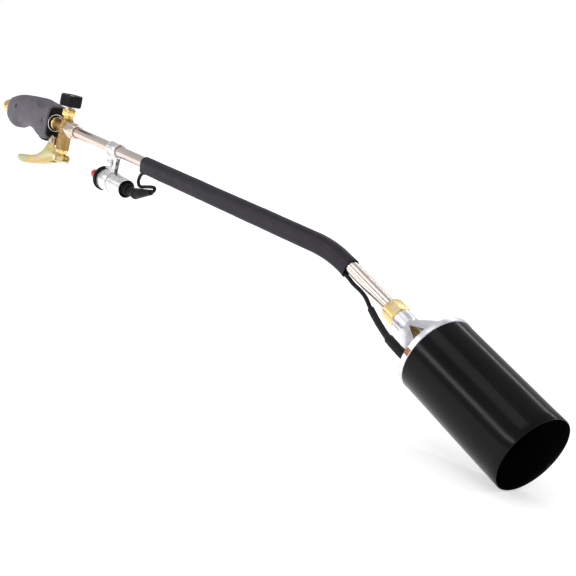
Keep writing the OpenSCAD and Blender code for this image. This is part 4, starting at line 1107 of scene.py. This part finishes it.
class TORCH_OT_bell(bpy.types.Operator):
    """Flame bell with its rounded rim"""

    bl_idname = "torch.bell"
    bl_label = "Flame bell"

    def execute(self, context):
        sizes = context.scene.torch_sizes
        r, t = sizes.bell / 2 / MM, sizes.bell_wall / MM
        stop = 116.0
        wall = [(0, r - t), (0, r - 0.2), (0.2, r)] + [(stop * k / 12, r) for k in range(1, 12)]
        wall += [(stop - 0.45, r), (stop - 0.12, r - 0.18), (stop, r - 0.5), (stop - 0.12, r - 0.82), (stop - 0.45, r - t)]
        wall += [(stop * k / 12, r - t) for k in range(11, 0, -1)]
        bell = turned("bell", wall, on_burner(sizes, 155), 160, bored=True)
        fitted(bell, "torch", "black_enamel", "flame_bell", angle=0.6)
        return {"FINISHED"}


class TORCH_OT_inner_parts(bpy.types.Operator):
    """Finishes for the exact parts that stay as they are"""

    bl_idname = "torch.inner_parts"
    bl_label = "Inner parts"

    def execute(self, context):
        slots = {s["node"]: s["material_slot"] for s in frame["record"]["subparts"]}
        for node, piece in frame["nodes"].items():
            if piece.hide_render:
                continue
            piece.data.materials.clear()
            piece.data.materials.append(bpy.data.materials[f"{slots[node]} finish"])
        return {"FINISHED"}


# ---------- stage ----------


class TORCH_OT_stage(bpy.types.Operator):
    """Pale floor, soft studio light and the camera"""

    bl_idname = "torch.stage"
    bl_label = "Stage"

    def execute(self, context):
        scene = context.scene
        low, _ = CAD_BOX
        nothing_selected()
        bpy.ops.mesh.primitive_plane_add(size=24, location=(0.5, 0, low[2] - 0.0005))
        bpy.ops.object.transform_apply(location=True, rotation=True, scale=True)
        floor = bpy.context.object
        floor.name = "studio_floor"
        material = bpy.data.materials.new("studio_floor")
        material.use_nodes = True
        shader = material.node_tree.nodes["Principled BSDF"]
        shader.inputs["Base Color"].default_value = (0.93, 0.93, 0.93, 1)
        shader.inputs["Roughness"].default_value = 0.9
        shader.inputs["Specular IOR Level"].default_value = 0.0
        shader.inputs["Emission Color"].default_value = (1, 1, 1, 1)
        shader.inputs["Emission Strength"].default_value = 0.5
        floor.data.materials.append(material)
        self.world(scene)
        self.light("key_light", (0.3, -0.9, 1.9), (0.5, 0, 0), 1.6, 0.9, 5)
        self.light("low_strip", (0.22, -1.46, 0.5), (0.85, 0, -0.05), 2.2, 0.22, 9)
        self.light("high_strip", (0.39, 1.2, 1.04), (0.85, 0, -0.05), 2.2, 0.14, 5)
        camera = bpy.data.cameras.new("camera")
        camera.lens = 69.64
        camera.sensor_width = 36
        camera.clip_start = 0.01
        camera.clip_end = 60
        piece = bpy.data.objects.new("camera", camera)
        scene.collection.objects.link(piece)
        right = Vector((0.60690788, 0.76129081, 0.22825232))
        down = Vector((0.3124171, 0.03555387, -0.94927945))
        ahead = Vector((-0.73079298, 0.64743511, -0.21626234))
        turn = Matrix((right, -down, -ahead)).transposed().to_4x4()
        piece.matrix_world = Matrix.Translation((1.381228, -0.665576, 0.173804)) @ turn
        scene.camera = piece
        scene.view_settings.view_transform = "Standard"
        return {"FINISHED"}

    def world(self, scene):
        """White behind the torch, a dimmer even light in its reflections."""
        world = scene.world or bpy.data.worlds.new("studio")
        scene.world = world
        world.use_nodes = True
        nodes, link = world.node_tree.nodes, world.node_tree.links.new
        nodes.clear()
        out = nodes.new("ShaderNodeOutputWorld")
        seen = nodes.new("ShaderNodeBackground")
        seen.inputs["Color"].default_value = (1, 1, 1, 1)
        seen.inputs["Strength"].default_value = 1.0
        lit = nodes.new("ShaderNodeBackground")
        lit.inputs["Color"].default_value = (0.97, 0.98, 1, 1)
        lit.inputs["Strength"].default_value = 0.55
        path = nodes.new("ShaderNodeLightPath")
        mix = nodes.new("ShaderNodeMixShader")
        link(path.outputs["Is Camera Ray"], mix.inputs["Fac"])
        link(lit.outputs["Background"], mix.inputs[1])
        link(seen.outputs["Background"], mix.inputs[2])
        link(mix.outputs["Shader"], out.inputs["Surface"])

    def light(self, name, spot, target, wide, tall, watts):
        lamp = bpy.data.lights.new(name, "AREA")
        lamp.shape = "RECTANGLE"
        lamp.size = wide
        lamp.size_y = tall
        lamp.energy = watts
        piece = bpy.data.objects.new(name, lamp)
        bpy.context.scene.collection.objects.link(piece)
        piece.location = spot
        piece.rotation_euler = (Vector(target) - Vector(spot)).to_track_quat("-Z", "Y").to_euler()


class VIEW3D_PT_torch(bpy.types.Panel):
    """Lists the torch's pieces"""

    bl_label = "Propane torch"
    bl_space_type = "VIEW_3D"
    bl_region_type = "UI"
    bl_category = "Torch"

    def draw(self, context):
        for group in (context.scene.torch_sizes, context.scene.torch_colours):
            for name in group.__annotations__:
                self.layout.prop(group, name)
        for operator in OPERATORS:
            self.layout.operator(operator.bl_idname)


OPERATORS = (
    TORCH_OT_stage,
    TORCH_OT_finishes,
    TORCH_OT_inlet,
    TORCH_OT_grip,
    TORCH_OT_collar,
    TORCH_OT_valve_body,
    TORCH_OT_neck,
    TORCH_OT_lever,
    TORCH_OT_plunger,
    TORCH_OT_lance,
    TORCH_OT_sleeve,
    TORCH_OT_clamp,
    TORCH_OT_igniter,
    TORCH_OT_lead,
    TORCH_OT_electrode,
    TORCH_OT_carrier,
    TORCH_OT_bell,
    TORCH_OT_inner_parts,
)
CLASSES = (TorchSizes, TorchColours, *OPERATORS, VIEW3D_PT_torch)


def register():
    for made in CLASSES:
        bpy.utils.register_class(made)
    bpy.types.Scene.torch_sizes = PointerProperty(type=TorchSizes)
    bpy.types.Scene.torch_colours = PointerProperty(type=TorchColours)


def unregister():
    del bpy.types.Scene.torch_sizes
    del bpy.types.Scene.torch_colours
    for made in reversed(CLASSES):
        bpy.utils.unregister_class(made)


def main():
    register()
    for operator in OPERATORS:
        getattr(bpy.ops.torch, operator.bl_idname.split(".")[1])()


if __name__ == "__main__":
    main()
